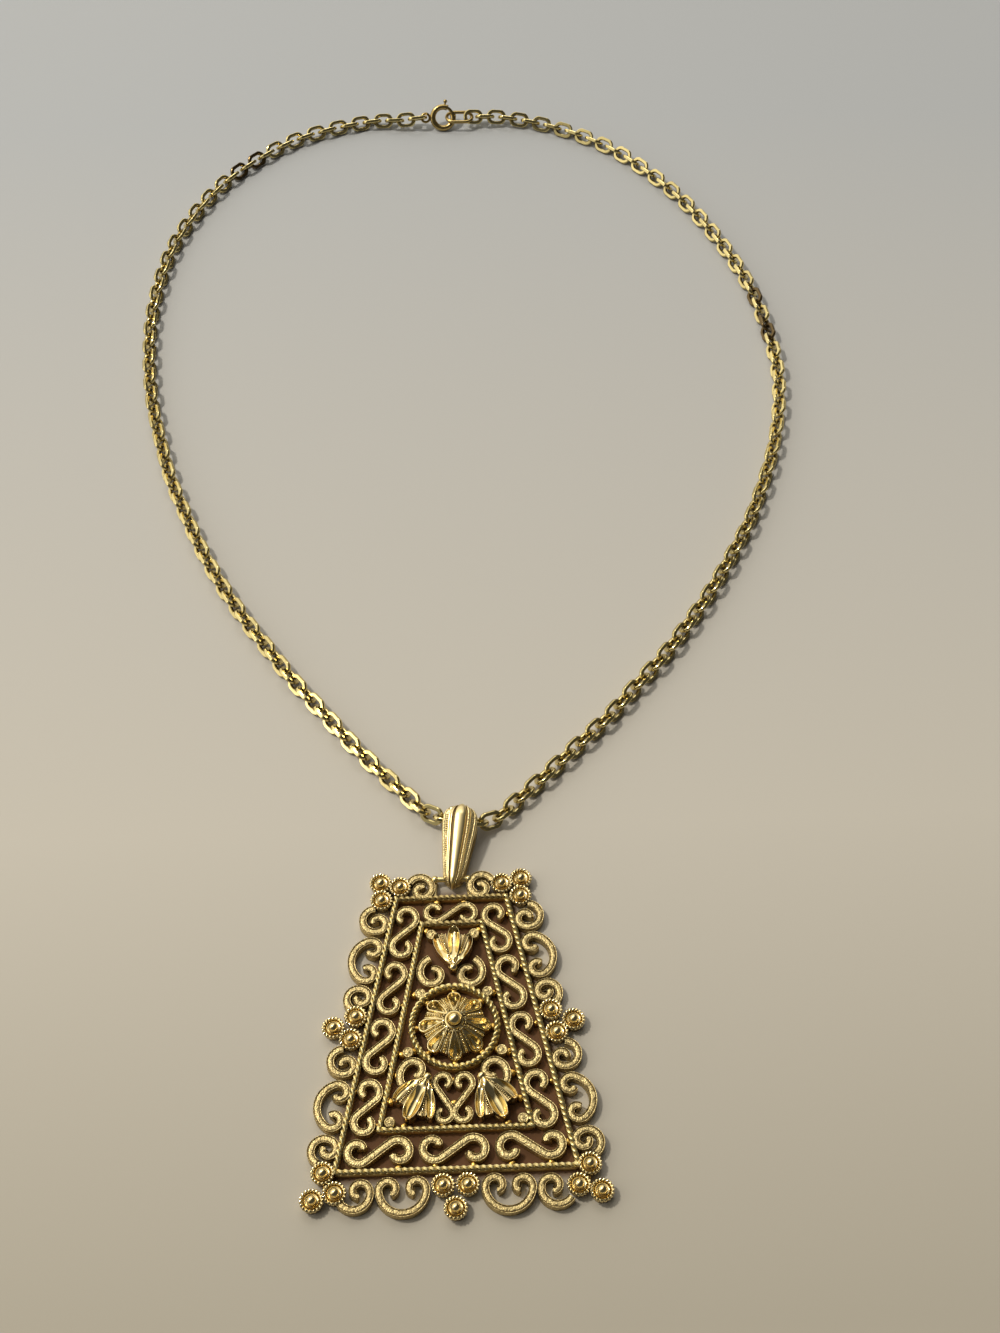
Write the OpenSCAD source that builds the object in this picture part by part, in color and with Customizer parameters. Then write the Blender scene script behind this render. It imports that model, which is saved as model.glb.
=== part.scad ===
// Drop necklace: a pierced trapezoid pendant in gold-tone metal, a ribbed fold-over bail,
// a cable chain that closes in a loop, and a bolt-ring clasp, lying on a flat surface.
// X runs across the pendant, Y from its lower edge towards the clasp, and Z up.
// The origin is on the pendant's flat back, under the middle of the medallion.

/* [Pendant] */
// Thickness of the pierced plate
plate_t = 1.6; // [1.3:0.1:2]
// Half width of the outer frame at its top bar
frame_top_half = 10; // [9.8:0.1:10.2]
// Half width of the outer frame at its bottom bar
frame_low_half = 20.2; // [20:0.1:20.4]
// Width of a rope bar
rope_w = 1; // [0.9:0.05:1.1]
// Widest width of a scroll's ribbon
ribbon_w = 1.25; // [1.2:0.05:1.3]
// Radius of a rosette
rosette_r = 2.1; // [2.05:0.05:2.2]
// Height of the medallion's ball above the back
dome_top = 6; // [5.5:0.1:6.5]

/* [Bail] */
// Length of the bail beyond the bar that it hangs on
bail_reach = 14.2; // [14:0.1:14.4]
// Lean of the bail away from the Y axis
bail_lean = 8; // [7.5:0.5:8.5]

/* [Chain] */
// Diameter of the link wire
wire_d = 0.92; // [0.85:0.01:0.92]
// Outer length of a link
link_l = 4.88; // [4.86:0.01:4.9]
// Outer width of a link
link_w = 3.7; // [3.6:0.05:3.8]

/* [Clasp] */
// Radius of the clasp ring's centre line
clasp_r = 2.5; // [2.45:0.05:2.55]
// Diameter of the clasp ring's tube
clasp_tube_d = 1.4; // [1.35:0.05:1.45]
// Lean of the clasp ring from lying flat
clasp_lean = 48; // [47:1:49]

/* [Hidden] */
$fn = 24;
gold = "gold";

// Frames: the heights of the bars' centre lines, and the half widths there
frame_top_y = 24.7;
frame_low_y = -24.8;
inner_top_y = 19.6;
inner_low_y = -17.9;
inner_top_half = 5.5;
inner_low_half = 12.9;
// The frames' right sides stand in by this from a mirror image of the left ones
frame_in = 0.3;
// Height of the bars' round backs over the plate
rope_rise = 0.35;

// S scrolls: centres of the two curls, the curls' radius, the hand (1 or -1), and the ribbon's
// share of ribbon_w
// [first x, first y, second x, second y, radius, hand, share]
S_SCROLLS = [
    [-8.3, 20.75, -8.95, 15.4, 1.86, 1, 0.9],
    [-10.4, 10.1, -11.15, 4.75, 1.79, 1, 0.9],
    [-12.6, -0.5, -13.35, -5.9, 1.86, 1, 1],
    [-14.7, -11.3, -15.35, -16.5, 1.79, 1, 1],
    [7.5, 20.9, 8.1, 15.9, 1.86, -1, 0.9],
    [9.6, 10.6, 10.15, 5.25, 1.95, -1, 0.95],
    [11.6, -0.05, 12.25, -5.35, 1.86, -1, 0.95],
    [13.7, -10.6, 14.45, -16, 1.9, -1, 1],
    [-3.05, 21.85, 2.3, 21.4, 1.74, -1, 0.8],
    [-16.2, -21.5, -9.8, -21.6, 1.95, -1, 1.1],
    [-3.7, -21.2, 2.7, -21.6, 2, -1, 1.05],
    [8.95, -21.45, 15.45, -21.05, 2, 1, 1.1],
    [-2.1, -10.05, -2.1, -15.3, 1.42, -1, 0.8],
    [1.3, -10.2, 1.2, -15.2, 1.5, 1, 0.85],
];
// Border scrolls: centre of the big arc, its radius, the angles where it starts and ends,
// the curls' radius, and whether the start and the end have a curl
// [x, y, radius, start angle, end angle, curl radius, start curl, end curl]
SIDE_SCROLLS = [
    [-13.7, 20.55, 2.27, 92, 287, 1.5, 0, 1],
    [-13.75, 12.55, 4.15, 106, 231, 1.55, 1, 1],
    [-16.55, 5.5, 2.05, 57, 230, 1.43, 1, 0],
    [-19, -5.7, 2.25, 92, 293, 1.4, 0, 1],
    [-19.15, -13.75, 4.15, 105, 231, 1.5, 1, 1],
    [-21.95, -21.25, 2.2, 45, 236, 1.4, 1, 0],
    [-5.7, 26.8, 2.1, -50, 155, 1.35, 1, 0],
];
LOW_SCROLLS = [
    [-17, -28.4, 2.67, 215, 368, 1.56, 0, 1],
    [-9.05, -27.95, 3.9, 184, 358, 1.58, 1, 1],
    [8.35, -27.9, 3.9, 182, 354, 1.6, 1, 1],
    [16.3, -28.5, 2.7, 169, 325, 1.62, 1, 0],
];
// Hooks beside the palmettes: [x, y, start radius, curl radius, start angle, end angle]
PANEL_HOOKS = [
    [-3.9, 9.85, 3.05, 1.8, 94, 450],
    [3, 9.75, 2.9, 1.85, 76, -288],
    [-7.25, -7.75, 3, 1.7, 232, -78],
    [6.6, -8, 2.8, 1.7, -50, 286],
];

// Rosettes, each [x, y]; the side ones are mirrored
SIDE_ROSETTES = [
    [-12.8, 27.8], [-9.3, 26.95], [-12.6, 24.4],
    [-17, 2.3], [-17.8, -1.8], [-20.8, 0.4],
    [-23.8, -29.4], [-22.1, -24.9], [-20.1, -28.3],
];
LOW_ROSETTES = [[-2.4, -27.5], [1.65, -27.5], [-0.4, -31.3]];
// Granulated discs of the inner panel, each [x, y], mirrored
DISCS = [[-3.75, 17.3], [-5.85, 6.2], [-8, -4.55], [-11.1, -16.7]];
disc_r = 0.95;
disc_rise = 0.35;
// A rosette's cup: its height over the plate, its wall, and the radius and height of its ball
cup_rise = 0.45;
cup_wall = 0.65;
cup_ball_r = 0.85;
cup_ball_rise = 0.3;
// Solder beads that join neighbours, each [x, y]
JOINTS = [
    [-4.65, 18.35], [4.65, 18.35], [-6.8, 6.3], [6.8, 6.3], [-3.55, 7.2], [3.2, 7.2],
    [-9.1, -4.6], [9.1, -4.6], [-7.1, -4.1], [7.1, -4.1], [9.6, -8.4], [-9.9, -8.3],
    [-0.45, -9.5], [-0.35, -13.4], [-11.3, -9.85], [-9.95, -0.4], [18.4, -20.7],
    [-12.35, 15.3], [-21.5, -27], [21.2, -26.8], [-2.7, 23.9], [2.1, 23.8],
    [-11, -12.9], [10.8, -12.9], [-8.8, -17.2], [8.6, -17.2], [-2.2, -17.1], [1.2, -17.1],
    [-16, -24.1], [-3.6, -24], [2.7, -24.1], [-9.7, -24.2], [9, -24.1], [15.5, -24],
];
joint_r = 0.6;

// Medallion: radius of its rope ring, and of the dome inside it
ring_r = 7.35;
ring_rope_w = 1.15;
dome_r = 5.2;
dome_rise = 4.6;
petals = 8;
// Length of the medallion's petals, the radii of their round ends and points, and their tilt
petal_reach = 6.3;
petal_r = 1.25;
petal_tip_r = 0.45;
petal_tilt = -34;
ball_r = 1.12;
// Palmettes: the ball's place, the direction of the middle petal, and the hand
// [x, y, direction, hand]
PALMETTES = [[0, 10.6, 90, 1], [-4.7, -9.3, 242, 1], [4.4, -9.4, 298, -1]];
// Petals of a palmette: turn from the middle one, length, radius of the round end
PETALS = [[0, 8, 1.3], [27, 7.1, 1.15], [-26, 7, 1.15]];
petal_foot_r = 0.5;
palm_ball_r = 0.75;
palm_ball_rise = 0.9;
// Growth of the palmettes' flat base beyond the petals
base_grow = 0.15;
base_reach = 0.35;

// Bar at the top that the bail hangs on
bar_y = 28.4;
bar_z = 1.3;
bar_d = 1;
bar_half = 3;
bar_nub_r = 0.7;

// Bail, in its own frame: Y along it from the bar, Z up
bail_x = 0.3;
bail_top_y = bail_reach - 2.58;
// Outer and inner end rounds, each [y, z, radius]
BAIL_OUT = [[-0.1, 1.6, 1.57], [bail_top_y, 2.62, 2.58]];
BAIL_IN = [[0.3, 1.61, 1.2], [bail_top_y, 2.6, 2.12]];
// Half width of the bail along its length, each [y, half width]
BAIL_PLAN = [
    [-1.8, 0.7], [-1.2, 1.25], [0, 1.85], [3.5, 2.4], [8, 3], [10, 3.15], [11.2, 3.15],
    [12.2, 2.85], [13.1, 2.3], [13.8, 1.6], [14.3, 0.9],
];
// Half width of its raised middle rib
RIB_PLAN = [[-1.6, 0.45], [0, 0.7], [8, 1.1], [12, 1.15], [14.6, 0.9]];
rib_rise = 0.35;

// Clasp
clasp_x = 1.7;
clasp_y = 237.7;
clasp_z = 2.6;
clasp_bore_d = 0.92;
bolt_d = 0.76;
// Angles round the ring: the gap in the tube, the bolt, its lever, and the lever's slot
gap_from = 25;
gap_to = 62;
bolt_from = 20;
bolt_to = 135;
lever_at = 80;
slot_from = 70;
slot_to = 129;
bore_to = 182;
lever_d = 0.5;
eye_r = 1;
eye_wire_d = 0.6;
eye_sink = 0.22;
eye_at = clasp_r + clasp_tube_d / 2 + eye_r + eye_wire_d / 2 - eye_sink;

// Jump ring: centre, half length of its straight sides, radius of its ends, its wire and its pitch
jump_c = [5.72, 237.72, 2.58];
jump_half = 1.3;
jump_end_r = 1.81;
jump_wire_d = 0.82;
jump_pitch = 1;

// Route of the chain's centre line, from the clasp's eye round to the jump ring: [x, y, z]
rest_z = 1.5;
ROUTE = [
    [-4.59, 237.44, 2.69], [-9, 237.5, 2.15], [-16, 238, rest_z], [-26, 235.5, rest_z],
    [-35, 231.5, rest_z], [-43.5, 225, rest_z], [-51, 217, rest_z], [-57, 207, rest_z],
    [-61.5, 196, rest_z], [-64, 184, rest_z], [-65, 171.5, rest_z], [-64.5, 159, rest_z],
    [-63, 147, rest_z], [-60.5, 136, rest_z], [-57.5, 125, rest_z], [-53.5, 114.5, rest_z],
    [-49.5, 105, rest_z], [-45, 96, rest_z], [-40, 87.5, rest_z], [-35, 80, rest_z],
    [-29.5, 72, rest_z], [-24, 65, rest_z], [-19, 58.5, rest_z], [-13.5, 52, rest_z],
    [-8, 46, 1.6], [-4.05, 41.8, 2.15], [1.9, 39.6, 2.85], [7.95, 40.15, 1.9],
    [13.5, 45.2, rest_z], [19, 50.5, rest_z], [25, 56.5, rest_z], [31, 62.5, rest_z],
    [36.5, 69, rest_z], [42.5, 76, rest_z], [48, 83.5, rest_z], [53, 91, rest_z],
    [58, 99.5, rest_z], [63, 109, rest_z], [67, 119, rest_z], [70.5, 129.5, rest_z],
    [73, 141, rest_z], [74, 152.5, rest_z], [73, 165, rest_z], [71, 176.5, rest_z],
    [67.5, 187.5, rest_z], [63, 198, rest_z], [57.5, 208, rest_z], [50.5, 217.5, rest_z],
    [43, 225.5, rest_z], [34.5, 231.5, rest_z], [25, 236, rest_z], [16, 237.9, 2.05],
    [9.16, 237.81, 2.5],
];
// Place in the route where the chain passes through the bail
bail_point = 26;
// Links from the bail to the clasp's eye, and from the bail to the jump ring
left_links = 90;
right_links = 91;
route_steps = 12;

// Geometry of curves in the plane

// Turn of an S scroll's curls, and of a border scroll's
s_turn = 285;
c_turn = 250;
// Points along a curl, a border scroll's big arc, and a hook
curl_steps = 9;
arc_steps = 7;
hook_steps = 14;
// How far a raised form sinks into the plate, and stands in from its edge
sink = 0.1;
// Gaps narrower than twice this are filled with solder
solder = 0.16;

function unit(v) = v / norm(v);
function dir(a) = [cos(a), sin(a)];

// A curl from its tip outwards, as [x, y, ribbon width]: it opens from a hook to the full radius
// and turns by -turn round c to end at angle a
function curl(c, r, a, turn, w) = [
    for (i = [0:curl_steps])
        let (t = i / curl_steps, q = min(1, 0.42 + 1.3 * t), k = min(1, 0.12 + 3.2 * t))
        concat(
            c + r * (0.72 + 0.28 * min(1, 1.6 * t)) * sqrt(q) * dir(a + turn * (1 - t)),
            w * k
        )
];
function flip(list) = [for (i = [len(list) - 1:-1:0]) list[i]];

// Centre line of an S scroll between the curls' centres a and b
function s_line(a, b, r, hand, w) =
    let (
        along = atan2(b.y - a.y, b.x - a.x),
        lift = acos(min(0.98, 2 * r / norm(b - a)))
    )
    concat(
        curl(a, r, along + hand * lift, hand * s_turn, w),
        flip(curl(b, r, along + 180 + hand * lift, hand * s_turn, w))
    );

// Centre line of a border scroll
function c_line(c, r, from, to, curl_r, curl_a, curl_b) =
    concat(
        curl_a ? curl(c + (r - curl_r) * dir(from), curl_r, from, -c_turn, ribbon_w) : [],
        [for (i = [0:arc_steps]) concat(c + r * dir(from + (to - from) * i / arc_steps), ribbon_w)],
        curl_b ? flip(curl(c + (r - curl_r) * dir(to), curl_r, to, c_turn, ribbon_w)) : []
    );

// Centre line of a hook: it comes in from its start and curls up at its end
function hook_line(c, start_r, curl_r, from, to) = [
    for (i = [0:hook_steps])
        let (
            t = i / hook_steps,
            r = curl_r + (start_r - curl_r) * pow(1 - min(1, 3 * t), 2)
                - 0.55 * curl_r * pow(max(0, (t - 0.6) / 0.4), 2)
        )
        concat(c + r * dir(from + (to - from) * t), ribbon_w * min(1, 4 * (1.03 - t)))
];

// Outline of a ribbon along a centre line of [x, y, width]
function edge(line, side) = [
    for (i = [0:len(line) - 1])
        let (
            p = line[max(0, i - 1)],
            q = line[min(len(line) - 1, i + 1)],
            d = unit([q.x - p.x, q.y - p.y]),
            w = line[i].z / 2
        )
        [line[i].x - side * w * d.y, line[i].y + side * w * d.x]
];
module ribbon(line) {
    polygon(concat(edge(line, 1), flip(edge(line, -1))));
}

module bar2d(a, b, w) {
    d = unit(b - a);
    n = [-d.y, d.x] * w / 2;
    e = d * w / 2;
    polygon([a - e + n, b + e + n, b + e - n, a - e - n]);
}

// A petal's outline from its point, along X
module petal2d(length, r) {
    reach = length - r;
    translate([reach, 0]) circle(r = r);
    polygon([[0, -0.6], [reach, -r], [reach, r], [0, 0.6]]);
}

// The corners of a frame, from its top left round
function corners(top_y, low_y, top_half, low_half) =
    [[-top_half, top_y], [top_half - frame_in, top_y], [low_half - frame_in, low_y], [-low_half, low_y]];
outer_frame = corners(frame_top_y, frame_low_y, frame_top_half, frame_low_half);
inner_frame = corners(inner_top_y, inner_low_y, inner_top_half, inner_low_half);

// The right side's scrolls and rosettes stand a little in and up from a mirror image
right_shift = [-0.3, 0.2];
module both_sides(shift = [0, 0]) {
    children();
    translate(shift) mirror([1, 0]) children();
}

// The pierced plate's outline, before its joints are filled
module scrollwork() {
    for (f = [outer_frame, inner_frame], i = [0:3])
        bar2d(f[i], f[(i + 1) % 4], rope_w);
    for (s = S_SCROLLS)
        ribbon(s_line([s[0], s[1]], [s[2], s[3]], s[4], s[5], ribbon_w * s[6]));
    both_sides(right_shift) {
        for (s = SIDE_SCROLLS)
            ribbon(c_line([s[0], s[1]], s[2], s[3], s[4], s[5], s[6], s[7]));
        for (p = SIDE_ROSETTES)
            translate(p) circle(r = rosette_r);
    }
    both_sides() {
        for (p = DISCS)
            translate(p) circle(r = disc_r);
        bar2d([-bar_half, bar_y], [-bar_half - 0.2, frame_top_y], 1);
    }
    for (h = PANEL_HOOKS)
        ribbon(hook_line([h[0], h[1]], h[2], h[3], h[4], h[5]));
    for (s = LOW_SCROLLS)
        ribbon(c_line([s[0], s[1]], s[2], s[3], s[4], s[5], s[6], s[7]));
    for (p = LOW_ROSETTES)
        translate(p) circle(r = rosette_r);
    for (p = JOINTS)
        translate(p) circle(r = joint_r);
    difference() {
        circle(r = ring_r + ring_rope_w / 2);
        circle(r = ring_r - ring_rope_w / 2);
    }
    circle(r = dome_r);
    for (i = [0:petals - 1])
        rotate(360 / petals * i) bar2d([dome_r - 0.5, 0], [ring_r, 0], 0.9);
    for (p = PALMETTES, q = PETALS)
        translate([p.x, p.y]) rotate(p.z + p[3] * q[0]) petal2d(q[1] + base_reach, q[2] + base_grow);
}

module plate2d() {
    offset(delta = -solder) offset(delta = solder) scrollwork();
}

// A petal lying along X from its point: a cone that ends in a ball
module petal(length, r, tip_r, tilt) {
    reach = length - r;
    rotate([0, -tilt, 0]) {
        rotate([0, 90, 0]) cylinder(h = reach, r1 = tip_r, r2 = r);
        translate([reach, 0, 0]) sphere(r = r);
    }
}

// The raised back of a frame's rope bars
module ropes(frame) {
    linear_extrude(plate_t + rope_rise)
        difference() {
            offset(delta = rope_w / 2 - sink) polygon(frame);
            offset(delta = sink - rope_w / 2) polygon(frame);
        }
}

module rosette() {
    translate([0, 0, plate_t - sink])
        difference() {
            cylinder(h = cup_rise + sink, r = rosette_r - sink);
            translate([0, 0, 2 * sink]) cylinder(h = cup_rise + sink, r = rosette_r - sink - cup_wall);
        }
    translate([0, 0, plate_t + cup_ball_rise]) sphere(r = cup_ball_r);
}

module medallion() {
    translate([0, 0, plate_t + 0.2])
        rotate_extrude() translate([ring_r, 0]) circle(d = ring_rope_w);
    // The dome is the cap of a ball
    cap_r = (pow(dome_r, 2) + pow(dome_rise - plate_t + 0.6, 2)) / (2 * (dome_rise - plate_t + 0.6));
    translate([0, 0, plate_t - sink])
        intersection() {
            translate([0, 0, dome_rise - plate_t + sink - cap_r]) sphere(r = cap_r);
            cylinder(h = dome_rise, r = dome_r - sink);
        }
    for (i = [0:petals - 1])
        rotate(360 / petals * i)
            translate([1, 0, dome_rise - 0.1]) petal(petal_reach, petal_r, petal_tip_r, petal_tilt);
    translate([0, 0, dome_rise - 0.3]) cylinder(h = 0.6, r = 1.5);
    translate([0, 0, dome_top - ball_r]) sphere(r = ball_r);
}

module palmette(direction, hand) {
    rotate(direction)
        for (q = PETALS)
            rotate(hand * q[0]) translate([0.3, 0, plate_t + 0.5]) petal(q[1], q[2], petal_foot_r, 4);
    translate([0, 0, plate_t + palm_ball_rise]) sphere(r = palm_ball_r);
}

module pendant() color(gold) {
    linear_extrude(plate_t) plate2d();
    ropes(outer_frame);
    ropes(inner_frame);
    for (p = SIDE_ROSETTES) {
        translate([p.x, p.y, 0]) rosette();
        translate([right_shift.x - p.x, right_shift.y + p.y, 0]) rosette();
    }
    for (p = LOW_ROSETTES)
        translate([p.x, p.y, 0]) rosette();
    for (p = DISCS, side = [1, -1])
        translate([side * p.x, p.y, plate_t - sink]) cylinder(h = disc_rise + sink, r = disc_r - sink);
    for (p = PALMETTES)
        translate([p.x, p.y, 0]) palmette(p.z, p[3]);
    medallion();
    translate([-bar_half, bar_y, bar_z]) rotate([0, 90, 0]) cylinder(h = 2 * bar_half, d = bar_d);
    for (side = [-1, 1])
        translate([side * bar_half, bar_y, bar_z]) sphere(r = bar_nub_r);
}

// Outline round two rounds, each [y, z, radius]
module tapered(rounds, grow) {
    a = rounds[0];
    b = rounds[1];
    d = [b.x - a.x, b.y - a.y];
    lean = atan2(d.y, d.x);
    open = acos((a.z - b.z) / norm(d));
    for (r = rounds)
        translate([r.x, r.y]) circle(r = r.z + grow);
    polygon([
        [a.x, a.y] + (a.z + grow) * dir(lean + open), [b.x, b.y] + (b.z + grow) * dir(lean + open),
        [b.x, b.y] + (b.z + grow) * dir(lean - open), [a.x, a.y] + (a.z + grow) * dir(lean - open),
    ]);
}

// A side outline carried right across the bail
module across(width) {
    translate([-width / 2, 0, 0])
        rotate([90, 0, 90]) linear_extrude(width) children();
}
module plan(table) {
    translate([0, 0, -1])
        linear_extrude(9)
            polygon(concat([for (p = table) [p[1], p[0]]], [for (p = flip(table)) [-p[1], p[0]]]));
}

module bail() color(gold)
    translate([bail_x, bar_y, 0]) rotate(-bail_lean)
        difference() {
            union() {
                intersection() {
                    across(8) tapered(BAIL_OUT, 0);
                    plan(BAIL_PLAN);
                }
                intersection() {
                    translate([0, 0, rib_rise]) across(8) tapered(BAIL_OUT, 0);
                    plan(RIB_PLAN);
                }
            }
            across(10) tapered(BAIL_IN, 0);
        }

// A smooth curve through the route's points

function blend(a, b, c, d, t) =
    0.5 * (
        2 * b + (c - a) * t
        + (2 * a - 5 * b + 4 * c - d) * t * t
        + (3 * b - a - 3 * c + d) * t * t * t
    );
function route_point(i) =
    i < 0 ? 2 * ROUTE[0] - ROUTE[1]
    : i > len(ROUTE) - 1 ? 2 * ROUTE[len(ROUTE) - 1] - ROUTE[len(ROUTE) - 2]
    : ROUTE[i];
path = [
    for (i = [0:len(ROUTE) - 2], j = [0:route_steps - 1])
        blend(route_point(i - 1), route_point(i), route_point(i + 1), route_point(i + 2), j / route_steps),
    ROUTE[len(ROUTE) - 1],
];
// Distance along the path at each of its points
steps = [for (k = [0:len(path) - 2]) norm(path[k + 1] - path[k])];
run = [
    for (k = 0, total = 0; k < len(path); total = total + (k < len(steps) ? steps[k] : 0), k = k + 1)
        total
];
x_at = [for (k = [0:len(path) - 1]) [run[k], path[k].x]];
y_at = [for (k = [0:len(path) - 1]) [run[k], path[k].y]];
z_at = [for (k = [0:len(path) - 1]) [run[k], path[k].z]];
function at(s) = [lookup(s, x_at), lookup(s, y_at), lookup(s, z_at)];
bail_run = run[bail_point * route_steps];
left_pitch = bail_run / left_links;
right_pitch = (run[len(run) - 1] - bail_run) / right_links;
function link_run(i) = bail_run + i * (i < 0 ? left_pitch : right_pitch);

// An oval link about its own centre, lying along X
module oval(half, end_r, d) {
    for (side = [0, 180])
        rotate(side) translate([half, 0, 0])
            rotate([0, 0, -90]) rotate_extrude(angle = 180) translate([end_r, 0]) circle(d = d);
    for (side = [-1, 1])
        translate([-half, side * end_r, 0]) rotate([0, 90, 0]) cylinder(h = 2 * half, d = d);
}

// Link i of the chain: even ones lean one way and odd ones the other
module link(i) {
    s = link_run(i);
    t = unit(at(s + 1.2) - at(s - 1.2));
    translate(at(s))
        rotate([0, -asin(t.z), atan2(t.y, t.x)])
            rotate([i % 2 == 0 ? 45 : -45, 0, 0])
                oval((link_l - link_w) / 2, (link_w - wire_d) / 2, wire_d);
}
module chain_left() color(gold) for (i = [-left_links:-1]) link(i);
module chain_right() color(gold) for (i = [0:right_links]) link(i);

// Places a thing made about the clasp ring's axis
module in_clasp() {
    translate([clasp_x, clasp_y, clasp_z]) rotate([clasp_lean, 0, 0]) children();
}
module arc_tube(from, to, r, d) {
    rotate([0, 0, from]) rotate_extrude(angle = to - from) translate([r, 0]) circle(d = d);
}
module clasp_ring() color(gold) in_clasp() {
    difference() {
        arc_tube(gap_to, gap_from + 360, clasp_r, clasp_tube_d);
        arc_tube(gap_to - 4, bore_to, clasp_r, clasp_bore_d);
        arc_tube(bolt_from - 3, gap_from + 2, clasp_r, clasp_bore_d);
        rotate([0, 0, slot_from])
            rotate_extrude(angle = slot_to - slot_from)
                translate([clasp_r, -lever_d / 2 - 0.12]) square([2, lever_d + 0.24]);
    }
    translate([-eye_at, 0, 0]) rotate_extrude() translate([eye_r, 0]) circle(d = eye_wire_d);
}
module clasp_bolt() color(gold) in_clasp() {
    arc_tube(bolt_from, bolt_to, clasp_r, bolt_d);
    rotate([0, 0, lever_at]) translate([clasp_r, 0, 0]) {
        rotate([0, 90, 0]) cylinder(h = 1.3, d = lever_d);
        translate([1.35, 0, 0]) sphere(d = 0.95);
    }
}

module jump_ring() color(gold)
    translate(jump_c) rotate([0, jump_pitch, 0]) oval(jump_half, jump_end_r, jump_wire_d);

pendant();
bail();
chain_left();
chain_right();
clasp_ring();
clasp_bolt();
jump_ring();
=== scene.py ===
"""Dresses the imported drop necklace: pierced pendant, bail, cable chain and bolt-ring clasp."""

import math

import bpy
import numpy as np
from mathutils import Matrix, Vector


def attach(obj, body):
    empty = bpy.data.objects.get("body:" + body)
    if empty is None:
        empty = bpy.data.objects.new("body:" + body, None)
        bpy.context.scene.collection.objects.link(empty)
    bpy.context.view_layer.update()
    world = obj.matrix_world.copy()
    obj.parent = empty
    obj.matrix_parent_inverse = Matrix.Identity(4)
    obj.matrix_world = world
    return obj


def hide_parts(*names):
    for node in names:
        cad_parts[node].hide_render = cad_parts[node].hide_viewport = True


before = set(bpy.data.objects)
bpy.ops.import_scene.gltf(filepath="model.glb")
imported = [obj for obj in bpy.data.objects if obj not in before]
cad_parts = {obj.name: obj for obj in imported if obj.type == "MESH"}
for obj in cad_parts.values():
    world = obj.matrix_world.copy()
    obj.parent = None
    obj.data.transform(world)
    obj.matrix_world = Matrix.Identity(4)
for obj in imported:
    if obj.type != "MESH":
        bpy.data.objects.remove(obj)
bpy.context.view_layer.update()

bl_info = {
    "name": "Drop necklace",
    "version": (1, 0, 0),
    "blender": (4, 5, 0),
    "location": "View3D > Sidebar > Necklace",
    "description": "Makes the gold-tone drop necklace over its CAD frame",
    "category": "Add Mesh",
}

MM = 0.001
BODY = "necklace"

# The design's places, in millimetres, the same as in the part's source

# S scrolls: first curl's centre, second curl's centre, curl radius, hand, share of ribbon width
S_SCROLLS = [
    (-8.3, 20.75, -8.95, 15.4, 1.86, 1, 0.9),
    (-10.4, 10.1, -11.15, 4.75, 1.79, 1, 0.9),
    (-12.6, -0.5, -13.35, -5.9, 1.86, 1, 1),
    (-14.7, -11.3, -15.35, -16.5, 1.79, 1, 1),
    (7.5, 20.9, 8.1, 15.9, 1.86, -1, 0.9),
    (9.6, 10.6, 10.15, 5.25, 1.95, -1, 0.95),
    (11.6, -0.05, 12.25, -5.35, 1.86, -1, 0.95),
    (13.7, -10.6, 14.45, -16, 1.9, -1, 1),
    (-3.05, 21.85, 2.3, 21.4, 1.74, -1, 0.8),
    (-16.2, -21.5, -9.8, -21.6, 1.95, -1, 1.1),
    (-3.7, -21.2, 2.7, -21.6, 2, -1, 1.05),
    (8.95, -21.45, 15.45, -21.05, 2, 1, 1.1),
    (-2.1, -10.05, -2.1, -15.3, 1.42, -1, 0.8),
    (1.3, -10.2, 1.2, -15.2, 1.5, 1, 0.85),
]
# The first S scrolls stand beside the panel, next to both frames, and reach within this of them
SIDE_S_SCROLLS, TOUCH_GAP = 8, 1.35
# Border scrolls: centre, radius, start and end angle, curl radius, start curl, end curl
SIDE_SCROLLS = [
    (-13.7, 20.55, 2.27, 92, 287, 1.5, 0, 1),
    (-13.75, 12.55, 4.15, 106, 231, 1.55, 1, 1),
    (-16.55, 5.5, 2.05, 57, 230, 1.43, 1, 0),
    (-19, -5.7, 2.25, 92, 293, 1.4, 0, 1),
    (-19.15, -13.75, 4.15, 105, 231, 1.5, 1, 1),
    (-21.95, -21.25, 2.2, 45, 236, 1.4, 1, 0),
    (-5.7, 26.8, 2.1, -50, 155, 1.35, 1, 0),
]
LOW_SCROLLS = [
    (-17, -28.4, 2.67, 215, 368, 1.56, 0, 1),
    (-9.05, -27.95, 3.9, 184, 358, 1.58, 1, 1),
    (8.35, -27.9, 3.9, 182, 354, 1.6, 1, 1),
    (16.3, -28.5, 2.7, 169, 325, 1.62, 1, 0),
]
# Hooks beside the palmettes: centre, start radius, curl radius, start and end angle
PANEL_HOOKS = [
    (-3.9, 9.85, 3.05, 1.8, 94, 450),
    (3, 9.75, 2.9, 1.85, 76, -288),
    (-7.25, -7.75, 3, 1.7, 232, -78),
    (6.6, -8, 2.8, 1.7, -50, 286),
]
SIDE_ROSETTES = [
    (-12.8, 27.8), (-9.3, 26.95), (-12.6, 24.4),
    (-17, 2.3), (-17.8, -1.8), (-20.8, 0.4),
    (-23.8, -29.4), (-22.1, -24.9), (-20.1, -28.3),
]
LOW_ROSETTES = [(-2.4, -27.5), (1.65, -27.5), (-0.4, -31.3)]
RIGHT_SHIFT = (-0.3, 0.2)
DISCS = [(-3.75, 17.3), (-5.85, 6.2), (-8, -4.55), (-11.1, -16.7)]
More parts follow.
